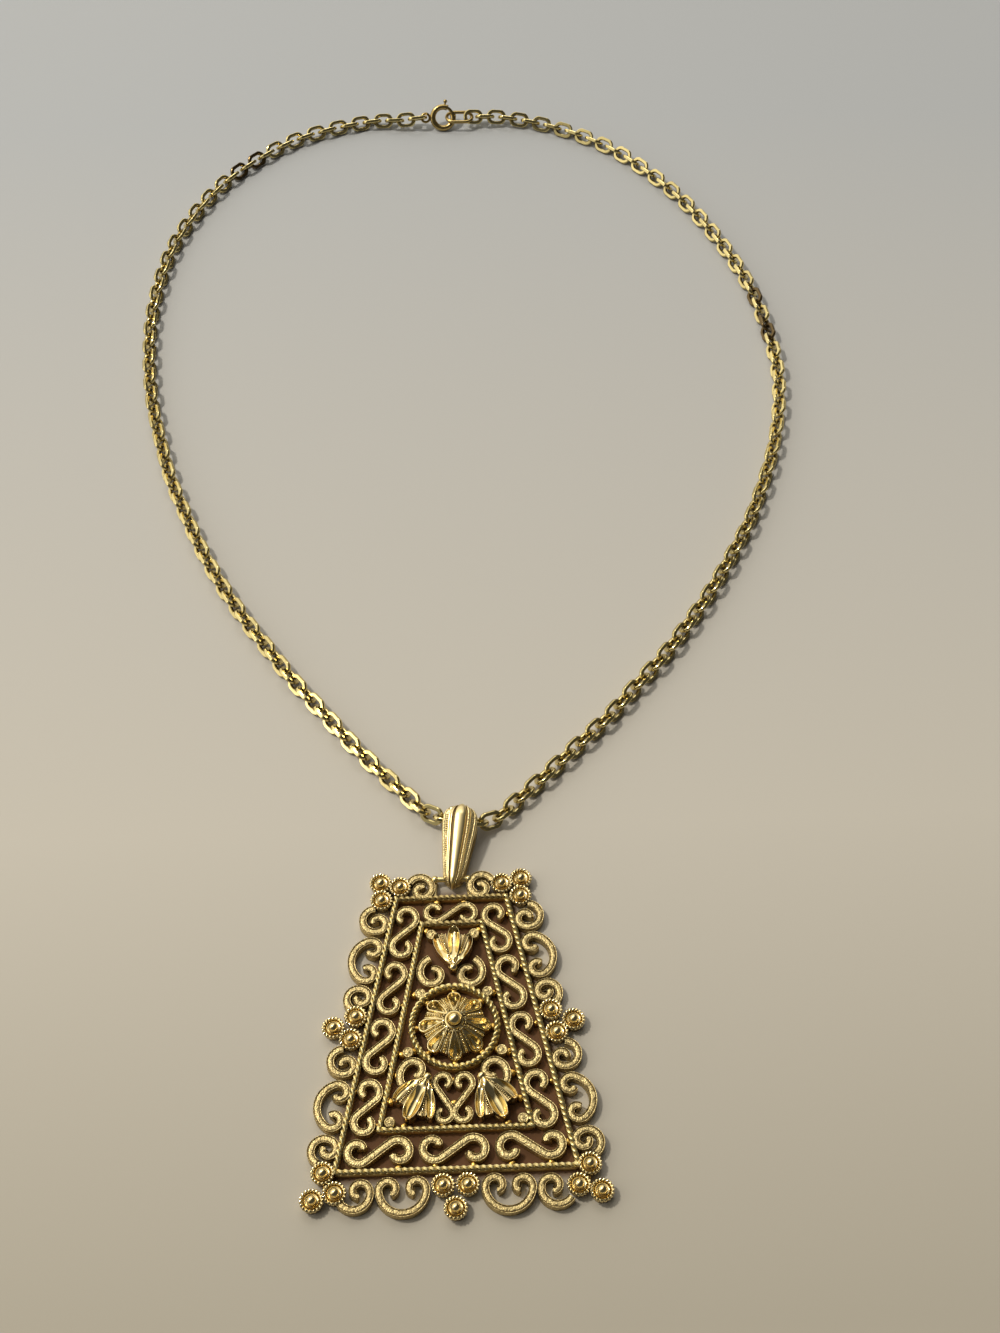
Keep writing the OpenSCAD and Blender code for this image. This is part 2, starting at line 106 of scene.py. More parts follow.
# Solder beads that join neighbours
JOINTS = [
    (-4.65, 18.35), (4.65, 18.35), (-6.8, 6.3), (6.8, 6.3), (-3.55, 7.2), (3.2, 7.2),
    (-9.1, -4.6), (9.1, -4.6), (-7.1, -4.1), (7.1, -4.1), (9.6, -8.4), (-9.9, -8.3),
    (-0.45, -9.5), (-0.35, -13.4), (-11.3, -9.85), (-9.95, -0.4), (18.4, -20.7), (-12.35, 15.3),
    (-21.5, -27), (21.2, -26.8), (-2.7, 23.9), (2.1, 23.8), (-11, -12.9), (10.8, -12.9),
    (-8.8, -17.2), (8.6, -17.2), (-2.2, -17.1), (1.2, -17.1), (-16, -24.1), (-3.6, -24),
    (2.7, -24.1), (-9.7, -24.2), (9, -24.1), (15.5, -24),
]
OUTER_FRAME = [(-10, 24.7), (9.7, 24.7), (19.9, -24.8), (-20.2, -24.8)]
INNER_FRAME = [(-5.5, 19.6), (5.2, 19.6), (12.6, -17.9), (-12.9, -17.9)]
# How far the frames' ropes run past a corner, the height of a rope's top, and the width and
# height of the plain bar under it
ROPE_PAST = 0.35
FRAME_ROPE_TOP, FRAME_BAR = 1.94, (0.96, 1.3)
RING_R, RING_ROPE_TOP, RING_BAR = 7.35, 2.36, (1.06, 1.5)
# The way each side of a frame is twisted, and how much painted shade darkens it:
# top, right, low, left
ROPE_SIDES = [(1, 0.8), (-1, 0.0), (1, 0.15), (-1, 0.0)]
# The medallion's petals, and the degrees that each one takes
PETAL_COUNT = 8
SECTOR = 360 / PETAL_COUNT
# Solder beads: radius and height
JOINT_SOLDER, TOUCH_SOLDER, RING_SOLDER = (0.6, 1.35), (0.45, 1.3), (0.6, 1.5)
# How far from the middle the medallion is soldered to its ring
RING_SOLDER_R = 6.6
# Palmettes: the ball's place, the direction of the middle petal, the hand
PALMETTES = [(0, 10.6, 90, 1), (-4.7, -9.3, 242, 1), (4.4, -9.4, 298, -1)]
# A palmette's hollowed petals: turn from its direction, outward bow, length, half width,
# height of the rim, depth of the hollow
TOP_PETALS = [
    (23, 16, 7.15, 0.9, 2.85, 0.75), (-24, 16, 6.95, 0.94, 2.85, 0.75), (-2, 0, 7.9, 1.14, 3.05, 0.9),
]
LOW_PETALS = [
    (30, 8, 7.3, 0.8, 2.85, 0.7), (-26, 16, 7.05, 0.84, 2.85, 0.7), (1, 0, 8.2, 1.36, 3.1, 1.05),
]
# Beaded bands between the petals: turn, bow, reach
TOP_BANDS = [(16.5, 5, 6.6), (-19.5, -5, 6.4)]
LOW_BANDS = [(19, 3, 6.8), (-19.5, -9, 6.3)]
# A band's height, its half width at its foot and its end, and half of its section from its
# wall over its thin border to its middle: share of the half width, height, relief
BAND_TOP, BAND_WIDENS = 2.62, (0.28, 0.72)
BAND_HALF = [
    (1, -1.4, 0.2), (1, -0.2, 0.5), (0.93, 0, 1), (0.82, 0, 1), (0.68, -0.16, 0.3), (0.3, -0.1, 0.3),
]
# Where a band starts, and the half width and height of the plain plate under it
BAND_START, BAND_PLATE_HALF, BAND_PLATE_TOP = 0.9, 0.66, 1.6
# A petal has its full width at this share of its length, then a round end; its rim rises this
# much from its ends to its middle, and the ridge at its foot stands this much over the rim
PETAL_FULL, RIM_RISE, FOOT_RIDGE = 0.68, 0.45, 0.22
# The plate under a petal is shorter and narrower than the petal by this; its height
PLATE_SHORT, PLATE_NARROW, PLATE_TOP = 0.15, 0.1, 1.62
FOOT_BALL_R, FOOT_BALL_Z = 0.74, 2.5
# The bar that the bail hangs on: place, height, half length, radius, radius of its end balls
BAR_Y, BAR_Z, BAR_HALF, BAR_R, BAR_KNOB_R = 28.4, 1.3, 3.0, 0.5, 0.7
# A post that carries the bar: its foot on the frame and its section of (across, height)
POST_FOOT = (3.2, 24.7)
POST = [(0.42, 0), (0.42, 0.9), (0.3, 1.1), (0, 1.15), (-0.3, 1.1), (-0.42, 0.9), (-0.42, 0)]
# The bail: where it hangs on the bar, and the degrees that it leans
BAIL_X, BAIL_LEAN = 0.3, 8
# Its outline from the side, without and within: two rounds of (y from the bar, z, radius)
BAIL_OUT = [(-0.1, 1.6, 1.57), (11.62, 2.62, 2.58)]
BAIL_IN = [(0.3, 1.61, 1.2), (11.62, 2.6, 2.12)]
# A point in the middle of its loop, and how finely the loop's rounds and straights are cut
BAIL_MIDDLE, BAIL_STEPS = (5.5, 2.1), (40, 60, 120)
# The bail's half width by the distance from the bar
BAIL_PLAN = [
    (-1.8, 0.7), (-1.2, 1.25), (0, 1.85), (3.5, 2.4), (8, 3.0), (10, 3.15), (11.2, 3.15),
    (12.2, 2.85), (13.1, 2.3), (13.8, 1.6), (14.3, 0.9),
]

REST_Z = 1.5
# The chain's route; a point with no height of its own lies at REST_Z
ROUTE = [
    (-4.59, 237.44, 2.69), (-9, 237.5, 2.15), (-16, 238), (-26, 235.5), (-35, 231.5),
    (-43.5, 225), (-51, 217), (-57, 207), (-61.5, 196), (-64, 184), (-65, 171.5),
    (-64.5, 159), (-63, 147), (-60.5, 136), (-57.5, 125), (-53.5, 114.5), (-49.5, 105),
    (-45, 96), (-40, 87.5), (-35, 80), (-29.5, 72), (-24, 65), (-19, 58.5), (-13.5, 52),
    (-8, 46, 1.6), (-4.05, 41.8, 2.15), (1.9, 39.6, 2.85), (7.95, 40.15, 1.9), (13.5, 45.2),
    (19, 50.5), (25, 56.5), (31, 62.5), (36.5, 69), (42.5, 76), (48, 83.5), (53, 91),
    (58, 99.5), (63, 109), (67, 119), (70.5, 129.5), (73, 141), (74, 152.5), (73, 165),
    (71, 176.5), (67.5, 187.5), (63, 198), (57.5, 208), (50.5, 217.5), (43, 225.5),
    (34.5, 231.5), (25, 236), (16, 237.9, 2.05), (9.16, 237.81, 2.5),
]
BAIL_POINT, LEFT_LINKS, RIGHT_LINKS, ROUTE_STEPS = 26, 90, 91, 12
# A link lies along the route between points this far from its middle, and is turned over by
# this many degrees, one link to the left and the next to the right
LINK_REACH, LINK_TILT = 1.2, 45
# Links that have gone dark, by where they lie, how near a link is to count as one of them,
# its tone, and the most that another link's tone comes to
TARNISHED = [(-46.7, 220.1), (-43.5, 223.2), (72.1, 174.8), (72.7, 164.6)]
TARNISH_REACH, TARNISH_TONE, CHAIN_TONE = 1.9, 0.85, 0.12


# Colours and settings a user would change


def linear(code):
    """An sRGB hex colour, such as 'E8C878', as linear red, green and blue."""
    parts = [int(code[i:i + 2], 16) / 255 for i in (0, 2, 4)]
    return tuple(c / 12.92 if c <= 0.04045 else ((c + 0.055) / 1.055) ** 2.4 for c in parts)


def length_property(name, about, default):
    """A length in metres, shown in the scene's own unit."""
    return bpy.props.FloatProperty(
        name=name, description=about, default=default, min=0.0, precision=5, unit="LENGTH"
    )


def colour_property(name, about, code):
    """A colour picker with an sRGB hex default."""
    return bpy.props.FloatVectorProperty(
        name=name, description=about, size=3, subtype="COLOR", min=0.0, max=1.0, default=linear(code)
    )


class NecklaceSizes(bpy.types.PropertyGroup):
    """Sizes of the worked details, within the CAD frame."""

    ribbon_width: length_property("Ribbon width", "Widest width of a scroll's ribbon", 0.00133)
    rope_diameter: length_property("Rope diameter", "Diameter of the frames' twisted wire", 0.0011)
    ring_rope_diameter: length_property(
        "Ring rope diameter", "Diameter of the medallion ring's twisted wire", 0.00122
    )
    rope_lay: length_property("Rope lay", "Length of one strand's pass over the rope", 0.00105)
    bead_diameter: length_property("Bead diameter", "Diameter of the beads between petals", 0.0004)
    link_wire: length_property("Link wire", "Diameter of a chain link's wire", 0.00092)
    link_length: length_property("Link length", "Outer length of a chain link", 0.00488)
    link_width: length_property("Link width", "Outer width of a chain link", 0.0037)
    link_cut: length_property("Link cut", "Depth of the flat cut on a link's sides", 0.00014)


class NecklaceColours(bpy.types.PropertyGroup):
    """Colours of the metal and the floor."""

    gold: colour_property("Gold tone", "Colour of the clean metal", "F2DE9C")
    polished: colour_property("Polished gold", "Colour of the petals, balls and bail", "F4DEA2")
    frosted: colour_property("Frosted gold", "Colour of the granulated bands", "EBD698")
    # Patina is also the colour of the painted shade in crevices, on walls and in hollows
    patina_and_shade: colour_property("Patina", "Colour in the grooves and corners", "5E421E")
    solder: colour_property("Solder", "Colour of the solder beads", "DDB35C")
    chain: colour_property("Chain", "Colour of the chain's metal", "E6D290")
    tarnish: colour_property("Tarnish", "Colour of the links that have gone dark", "5A4730")
    clasp: colour_property("Clasp", "Colour of the clasp and jump ring", "B69D64")
    # The low and far floor colours are painted falloff of the light: darker at the front, darker and
    # cooler at the back
    floor_low: colour_property("Floor, low", "Floor colour under the pendant's lower edge", "ACA493")
    floor_near: colour_property("Floor, near", "Floor colour over the pendant", "C1BAAC")
    # The next colour is painted shade under the pendant's openwork
    floor_painted_shade: colour_property("Floor, under", "Floor colour in the shade under the openwork", "5E4026")
    floor_far: colour_property("Floor, far", "Floor colour at the clasp", "AEAFAE")


# Mesh building


def smooth_step(x):
    """Runs smoothly from 0 to 1 while x does."""
    x = np.clip(x, 0, 1)
    return x * x * (3 - 2 * x)


def bump(x, middle, width):
    """A round ridge across x."""
    return np.sqrt(np.maximum(0, 1 - ((x - middle) / width) ** 2))


def heading(degrees):
    """Unit vectors in the plane for angles in degrees."""
    a = np.radians(degrees)
    return np.stack([np.cos(a), np.sin(a)], -1)


def bent(t, a, b, c):
    """Points of the curve from a to c that b draws towards itself, at shares t of the way."""
    t = np.reshape(t, (-1, 1))
    return (1 - t) ** 2 * a + 2 * t * (1 - t) * b + t * t * c


def grid_faces(rows, columns, close_rows=False, close_columns=False):
    """Quads of a grid of points, row by row."""
    r = np.arange(rows if close_rows else rows - 1)[:, None]
    c = np.arange(columns if close_columns else columns - 1)[None, :]
    r2, c2 = (r + 1) % rows, (c + 1) % columns
    corners = [r * columns + c, r * columns + c2, r2 * columns + c2, r2 * columns + c]
    return np.stack(corners, -1).reshape(-1, 4)


def resample(points, spacing, closed=False):
    """Points (x, y, ...) spaced evenly along their x and y, and the line's length."""
    p = np.vstack([points, points[:1]]) if closed else points
    step = np.linalg.norm(np.diff(p[:, :2], axis=0), axis=1)
    p = p[np.r_[True, step > 1e-6]]
    run = np.r_[0, np.cumsum(np.linalg.norm(np.diff(p[:, :2], axis=0), axis=1))]
    count = max(4, int(round(run[-1] / spacing)))
    at = np.linspace(0, run[-1], count + 1)[: count if closed else count + 1]
    return np.stack([np.interp(at, run, p[:, k]) for k in range(p.shape[1])], -1), run[-1]


def plane_frames(points, closed=False):
    """Unit vectors to the left of a line in the plane, and straight up."""
    if closed:
        along = np.roll(points, -1, 0) - np.roll(points, 1, 0)
    else:
        along = np.gradient(points, axis=0)
    along /= np.linalg.norm(along, axis=1)[:, None]
    left = np.stack([-along[:, 1], along[:, 0], np.zeros(len(along))], -1)
    return left, np.tile([0.0, 0.0, 1.0], (len(along), 1))


class Casting:
    """Gathers points and faces, in millimetres, into one joined mesh.

    Each point has a relief, from 0 in a groove to 1 on what stands proud, and a tone, from 0
    where it is bright to 1 where it is darkest and least shiny. The materials draw low relief dark:
    patina in the grooves, and painted shade on walls, undersides and in hollows. The tone is
    tarnish and random variation on the chain's links, painted shade on ropes and scrolls, and a
    painted dark reflection on the rosettes' balls.
    """

    def __init__(self):
        self.points, self.relief, self.tone, self.faces, self.count = [], [], [], [], 0

    def add(self, points, faces, relief, tone=0.0):
        """Adds a closed shape. Its faces are turned outwards."""
        volume = 0.0
        for f in faces:
            a, b, c = points[f[:, 0]], points[f[:, 1]], points[f[:, 2]]
            volume += np.einsum("ij,ij->", a, np.cross(b, c))
            if f.shape[1] == 4:
                volume += np.einsum("ij,ij->", a, np.cross(c, points[f[:, 3]]))
        for f in faces:
            self.faces.append((f[:, ::-1] if volume < 0 else f) + self.count)
        self.points.append(points)
        self.relief.append(relief)
        self.tone.append(np.full(len(points), float(tone)))
        self.count += len(points)

    def rings(self, points, relief=1.0, tone=0.0, closed=False):
        """A grid of rings (rings, around, 3), joined end to end or closed by a point at each.

        relief is one value, one for each ring, or one for each point.
        """
        rows, around = points.shape[:2]
        faces = [grid_faces(rows, around, closed, True)]
        relief = np.reshape(relief, (-1, 1)) if np.ndim(relief) == 1 else relief
        relief = np.broadcast_to(relief, (rows, around)).ravel().astype(float)
        flat = points.reshape(-1, 3)
        if not closed:
            ring = np.arange(around)
            after = (ring + 1) % around
            first, last, base = len(flat), len(flat) + 1, (rows - 1) * around
            faces.append(np.stack([np.full(around, first), after, ring], -1))
            faces.append(np.stack([np.full(around, last), base + ring, base + after], -1))
            flat = np.vstack([flat, points[0].mean(0), points[-1].mean(0)])
            relief = np.r_[relief, relief[0], relief[-1]]
        self.add(flat, faces, relief, tone)

    def sweep(self, centres, sides, ups, across, rise, relief=1.0, tone=0.0, closed=False):
        """Carries a closed section along a line. across and rise are (steps, section points)."""
        points = centres[:, None] + across[..., None] * sides[:, None] + rise[..., None] * ups[:, None]
        self.rings(points, np.broadcast_to(relief, across.shape), tone, closed)

    def lay(self, line, across, rise, relief=1.0, tone=0.0, closed=False):
        """Carries a closed upright section along a line that lies in the plane."""
        left, up = plane_frames(line, closed)
        shape = (len(line), np.shape(rise)[-1])
        centres = np.column_stack([line, np.zeros(len(line))])
        across, rise = np.broadcast_to(across, shape), np.broadcast_to(rise, shape)
        self.sweep(centres, left, up, across, rise, relief, tone, closed)

    def turned(self, profile, centre, around, relief=1.0, tone=0.0, waves=(0, 0)):
        """A profile of (radius, height) turned about the vertical, closed on the axis at its ends.

        waves are added to the radius and the height of each point.
        """
        a = np.linspace(0, 2 * np.pi, around, endpoint=False)
        r, z = np.array(profile, float).T[:, :, None] * np.ones(around)
        r, z = r + waves[0], z + waves[1]
        points = np.stack([r * np.cos(a), r * np.sin(a), z], -1) + np.array(centre)
        self.rings(points, relief, tone)

    def ball(self, centre, radius, around, rows, tone=0.0):
        """A ball, turned about the vertical."""
        a = np.linspace(0.06, np.pi - 0.06, rows)
        self.turned(np.stack([radius * np.sin(a), radius * np.cos(a)], -1), centre, around, 1.0, tone)

    def build(self, name, node, material, sharp=38):
        """Makes the mesh object, in metres, smooth but for edges past the angle sharp.

        The piece rides its body, takes the place of its CAD node, which is hidden, and takes the given
        material.
        """
        points = np.vstack(self.points) * MM
        loops = np.concatenate([f.ravel() for f in self.faces])
        sizes = np.concatenate([np.full(len(f), f.shape[1]) for f in self.faces])
        mesh = bpy.data.meshes.new(name)
        mesh.vertices.add(len(points))
        mesh.vertices.foreach_set("co", points.ravel())
        mesh.loops.add(len(loops))
        mesh.loops.foreach_set("vertex_index", loops.astype(np.int32))
        mesh.polygons.add(len(sizes))
        mesh.polygons.foreach_set("loop_start", (np.cumsum(sizes) - sizes).astype(np.int32))
        mesh.polygons.foreach_set("use_smooth", np.ones(len(sizes), bool))
        mesh.update(calc_edges=True)
        mesh.validate()
        for key, values in (("relief", self.relief), ("tone", self.tone)):
            data = mesh.attributes.new(key, "FLOAT", "POINT")
            data.data.foreach_set("value", np.concatenate(values).astype(np.float32))
        mesh.set_sharp_from_angle(angle=math.radians(sharp))
        mesh.materials.append(material)
        made = bpy.data.objects.new(name, mesh)
        bpy.context.scene.collection.objects.link(made)
        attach(made, BODY)
        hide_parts(node)


# Scrolls

# Half of the ribbon's section from its outer wall to its middle:
# share of the half width, height in mm, relief from 0 in a groove to 1 on a rim.
# The wall is painted darker towards the floor as shade; the groove's dark is patina and painted shade.
RIBBON_HALF = [
    (1.0, 0.0, 0.4), (1.0, 0.8, 0.6), (1.0, 1.45, 0.8), (0.98, 1.63, 1.0), (0.92, 1.71, 1.0),
    (0.8, 1.69, 1.0), (0.73, 1.53, 0.15), (0.64, 1.54, 0.3), (0.52, 1.64, 1.0), (0.26, 1.66, 1.0),
]
RIBBON_MIDDLE = (0.0, 1.68, 1.0)
# How evenly the ribbon is cut, and how rough its granulated band and its rims are
RIBBON_STEP, BAND_ROUGH, RIM_ROUGH = 0.23, 0.04, 0.045
# Scrolls stand at four heights, this far apart, so that tops that touch aren't in one plane
SCROLL_LIFT = 0.012
# Degrees that an S scroll's curls and a border scroll's curls turn through
S_TURN, C_TURN = 285, 250


def fishtail(t, half, outer, inner):
    """Half widths outside and inside a curl, whose tip flares into a short and a long barb.

    outer is where the tip and the thinning end; inner is where the tip ends, and the long
    barb's size, place and width.
    """
    tip, thin = outer
    outside = half * np.minimum(1, t / tip + 0.1) * (0.8 + 0.2 * np.minimum(1, t / thin))
    tip, size, at, wide = inner
    inside = half * np.minimum(1, t / tip + 0.03) * (1 + size * np.exp(-(((t - at) / wide) ** 2)))
    return outside, inside


def curl(centre, radius, angle, turn, half):
    """A curl from its tip outwards as (x, y, left half width, right half width)."""
    t = np.linspace(0, 1, 48)
    reach = radius * (0.72 + 0.28 * np.minimum(1, 1.6 * t)) * np.sqrt(np.minimum(1, 0.42 + 1.3 * t))
    points = np.array(centre) + reach[:, None] * heading(angle + turn * (1 - t))
    outside, inside = fishtail(t, half, (0.04, 0.3), (0.05, 0.75, 0.065, 0.045))
    left, right = (outside, inside) if turn > 0 else (inside, outside)
    return np.column_stack([points, left, right])


def flip(line):
    """The same line walked the other way."""
    return line[::-1][:, [0, 1, 3, 2]]


def s_line(ax, ay, bx, by, radius, hand, share, half):
    """An S scroll's line: two curls joined by the straight between them."""
    a, b = np.array([ax, ay]), np.array([bx, by])
    along = math.degrees(math.atan2(by - ay, bx - ax))
    lift = math.degrees(math.acos(min(0.98, 2 * radius / np.linalg.norm(b - a))))
    return np.vstack([
        curl(a, radius, along + hand * lift, hand * S_TURN, share * half),
        flip(curl(b, radius, along + 180 + hand * lift, hand * S_TURN, share * half)),
    ])


def c_line(x, y, radius, start, end, curl_r, start_curl, end_curl, half):
    """A border scroll's line: an arc with a curl at one end or both."""
    c = np.array([x, y])
    arc = c + radius * heading(np.linspace(start, end, 60))
    parts = [np.column_stack([arc, np.full((len(arc), 2), half)])]
    if start_curl:
        parts.insert(0, curl(c + (radius - curl_r) * heading(start), curl_r, start, -C_TURN, half))
    if end_curl:
        parts.append(flip(curl(c + (radius - curl_r) * heading(end), curl_r, end, C_TURN, half)))
    return np.vstack(parts)


def hook_line(x, y, start_r, curl_r, start, end, half):
    """A hook's line: it winds in from the start radius to its curl."""
    t = np.linspace(0, 1, 90)
    reach = (
        curl_r + (start_r - curl_r) * (1 - np.minimum(1, 3 * t)) ** 2
        - 0.55 * curl_r * np.maximum(0, (t - 0.6) / 0.4) ** 2
    )
    points = np.array([x, y]) + reach[:, None] * heading(start + (end - start) * t)
    outside, inside = fishtail(1 - t, half, (0.035, 0.2), (0.04, 0.7, 0.055, 0.035))
    left, right = (inside, outside) if end > start else (outside, inside)
    return np.column_stack([points, left, right])


def mirrored(line):
    """A left border scroll as it stands on the right."""
    made = line[:, [0, 1, 3, 2]].copy()
    made[:, 0] = RIGHT_SHIFT[0] - made[:, 0]
    made[:, 1] += RIGHT_SHIFT[1]
    return made


def scroll_lines(half):
    """Each scroll's line, with how much painted shade darkens it: most on the low border, then the side
    border, least on the hooks.
    """
    side = [c_line(*s, half) for s in SIDE_SCROLLS]
    groups = [
        ([s_line(*s, half) for s in S_SCROLLS], 0.0),
        (side + [mirrored(s) for s in side], 0.2),
        ([hook_line(*h, half) for h in PANEL_HOOKS], 0.1),
        ([c_line(*s, half) for s in LOW_SCROLLS], 0.32),
    ]
    return [(line, darkening) for lines, darkening in groups for line in lines]


def ribbon(casting, line, lift, darkening, grain):
    """A ribbon with two raised rims, a groove inside each, and a granulated band between."""
    section = np.array(RIBBON_HALF + [RIBBON_MIDDLE] + [(-u, z, k) for u, z, k in RIBBON_HALF[::-1]])
    line, _ = resample(line, RIBBON_STEP)
    share, height, relief = section.T
    across = np.where(share > 0, line[:, 2:3] * share, line[:, 3:4] * share)
    rise = np.tile(height, (len(line), 1))
    band = np.abs(share) < 0.6
    rise[:, band] += grain.normal(0, BAND_ROUGH, (len(line), band.sum()))
    rims = (np.abs(share) > 0.75) & (np.abs(share) < 0.95)
    rise[:, rims] += RIM_ROUGH * np.where(np.arange(len(line)) % 2, 1, -1)[:, None]
    rise[:, height > 0.1] += lift
    casting.lay(line[:, :2], across, rise, relief, darkening)


# Twisted ropes

# A frame's rounded corner, and how evenly a rope and a bar are cut
CORNER_R, ROPE_STEP, BAR_STEP = 0.45, 0.14, 0.6
# A strand's radius and its throw from the rope's middle, as shares of the rope's diameter
STRAND_R, STRAND_THROW = 0.3, 0.2

def rounded_loop(corners):
    """A closed polygon with small rounded corners, as points."""
    c = np.array(corners, float)
    out = []
    for i in range(len(c)):
        before, after = c[i - 1] - c[i], c[(i + 1) % len(c)] - c[i]
        a = c[i] + before / np.linalg.norm(before) * CORNER_R
        b = c[i] + after / np.linalg.norm(after) * CORNER_R
        out.append(bent(np.linspace(0, 1, 6), a, c[i], b))
    return np.vstack(out)


def rope(casting, points, diameter, lay, height, hand=1, darkening=0.0, closed=False):
    """Two round strands twisted along a line, whose top is at height; hand is the twist's way."""
    line, length = resample(points, ROPE_STEP, closed)
    left, up = plane_frames(line, closed)
    turns = round(length / (2 * lay))
    strand, throw = diameter * STRAND_R, diameter * STRAND_THROW
    centre = np.column_stack([line, np.full(len(line), height - diameter / 2)])
    around = np.linspace(0, 2 * np.pi, 8, endpoint=False)
    section = strand * np.ones((len(line), 1)) * np.stack([np.cos(around), np.sin(around)])[:, None]
    for k in range(2):
        turn = hand * 2 * np.pi * turns * np.arange(len(line)) / len(line) + k * np.pi
        axis = centre + throw * (np.cos(turn)[:, None] * left + np.sin(turn)[:, None] * up)
        # The strand's inner side, where it turns under the other strand, is painted dark as shade; its
        # outer side is bright
        outer = np.cos(around - turn[:, None])
        relief = 0.3 + 0.7 * smooth_step(0.5 + 0.6 * outer)
        casting.sweep(axis, left, up, *section, relief, darkening, closed)


def bar(casting, loop, width, height):
    """The plain bar under a rope."""
    line, _ = resample(loop, BAR_STEP, closed=True)
    half = [(1, 0), (1, 0.55), (0.97, 0.93), (0.85, 1)]
    across, rise = np.array(half + [(-u, z) for u, z in half[::-1]]).T
    # The bar is painted darker towards the floor, a painted shade
    casting.lay(line, across * width / 2, rise * height, 0.5 + 0.4 * rise, closed=True)


def round_bar(casting, a, b, radius):
    """A straight round bar between two points."""
    a, b = np.array(a, float), np.array(b, float)
    along = (b - a) / np.linalg.norm(b - a)
    side = np.cross(along, [0, 0, 1.0])
    side /= np.linalg.norm(side)
    steps = 9
    angle = np.linspace(0, 2 * np.pi, 16, endpoint=False)
    centres = a + np.linspace(0, 1, steps)[:, None] * (b - a)
    section = radius * np.ones((steps, 1)) * np.stack([np.cos(angle), np.sin(angle)])[:, None]
    sides, ups = np.tile(side, (steps, 1)), np.tile(np.cross(side, along), (steps, 1))
    casting.sweep(centres, sides, ups, *section, 0.8)


# Rosettes, discs and solder

# A rosette's cup from its foot over its toothed rim into its bowl: radius, height, relief,
# how much of the teeth shows there, and their slant in degrees of a tooth
ROSETTE = np.array([
    (1.68, 0, 0.2, 0, 0), (1.72, 0.8, 0.3, 0, 0), (1.78, 1.2, 0.5, 0.3, 0), (1.94, 1.42, 0.8, 0.9, 20),
    (2.03, 1.62, 1, 1, 60), (2.0, 1.82, 1, 1, 110), (1.87, 1.98, 1, 1, 160), (1.7, 2.02, 1, 1, 210),
    (1.54, 1.93, 1, 0.9, 250), (1.42, 1.76, 1, 0.6, 280), (1.34, 1.58, 0.9, 0.3, 290),
    (1.22, 1.47, 1, 0.1, 290), (1.0, 1.42, 1, 0, 290), (0.5, 1.4, 0.7, 0, 290),
])
TEETH, TOOTH_DEPTH = 18, 0.17
# Each cup's teeth start this much further round than the last one's, in radians
ROSETTE_TURN = 0.9
# The balls' tone is a painted dark reflection of a dim room
BALL_R, BALL_Z, BALL_DARK_REFLECTION = 0.8, 1.95, 0.25
# A disc from its foot to its middle: radius, height, relief, share of its roughness
DISC_ROUGH = 0.03
DISC = [
    (0.9, 0.0, 0.3, 0), (0.94, 1.0, 0.4, 0), (0.94, 1.75, 0.7, 0.3), (0.86, 1.93, 1, 1),
    (0.74, 1.95, 0.9, 1), (0.62, 1.88, 0.3, 1), (0.48, 1.9, 0.5, 1), (0.34, 1.92, 0.6, 1),
    (0.2, 1.98, 0.9, 1), (0.06, 2.0, 1, 0.3),
]
# A solder bead from its foot to its top: share of its radius and height, relief
SOLDER = [(1, 0, 0.3), (1.02, 0.5, 0.5), (0.97, 0.75, 0.8), (0.82, 0.9, 1), (0.55, 0.98, 1), (0.2, 1, 1)]


def rosette(casting, x, y, turn):
    """A small cup with a toothed, slanting rim and a polished ball."""
    relief, share, slant = ROSETTE.T[2:, :, None]
    a = np.linspace(0, 2 * np.pi, 6 * TEETH, endpoint=False)
    cut = 0.5 - 0.5 * np.cos(TEETH * (a + turn) + np.radians(slant))
    depth = TOOTH_DEPTH * share * cut ** 2
    # Painted shade in the notches between the teeth and at the cup's foot
    relief = relief * (1 - 0.8 * share * cut)
    casting.turned(ROSETTE[:, :2], (x, y, 0), len(a), relief, waves=(-depth, -0.6 * depth))
    casting.ball((x, y, BALL_Z), BALL_R, 28, 16, BALL_DARK_REFLECTION)


def disc(casting, x, y, grain):
    """A small granulated disc with a raised centre."""
    relief, rough = np.array(DISC).T[2:]
    bumps = grain.normal(0, DISC_ROUGH, (len(DISC), 20)) * rough[:, None]
    casting.turned(np.array(DISC)[:, :2], (x, y, 0), 20, relief, waves=(0.4 * bumps, bumps))


def solder(casting, x, y, radius, top, grain):
    """A low uneven bead of solder."""
    a = np.linspace(0, 2 * np.pi, 18, endpoint=False)
    uneven = 1 + 0.1 * np.sin(2 * a + grain.uniform(0, 6)) + 0.06 * np.sin(3 * a + grain.uniform(0, 6))
    share, height, relief = np.array(SOLDER).T[:, :, None]
    r = share * radius * uneven
    z = height * top * np.ones(len(a))
    casting.rings(np.stack([x + r * np.cos(a), y + r * np.sin(a), z], -1), relief)


def rope_touches():
    """Places where the side S scrolls' curls are soldered to the frames beside them."""
    places = []
    for ax, ay, bx, by, radius in (s[:5] for s in S_SCROLLS[:SIDE_S_SCROLLS]):
        for x, y in ((ax, ay), (bx, by)):
            for corners in (OUTER_FRAME, INNER_FRAME):
                upper, lower = (1, 2) if x > 0 else (0, 3)
                a, b = np.array(corners[upper]), np.array(corners[lower])
                along = (b - a) / np.linalg.norm(b - a)
                p = np.array([x, y])
                foot = a + along * ((p - a) @ along)
                gap = np.linalg.norm(foot - p)
                if gap < radius + TOUCH_GAP:
                    places.append(p + (foot - p) / gap * (radius + 0.5 * (gap - radius)))
    return places


# Medallion and palmettes

# The medallion's dome from its middle outwards: radius, height
DOME = [(0, 4.2), (1.2, 4.1), (2, 3.85), (3, 3.4), (4, 2.8), (5, 2.1), (5.8, 1.6), (6.5, 1.3)]
DOME_R, DOME_HOLE_R = 5.3, 1.15
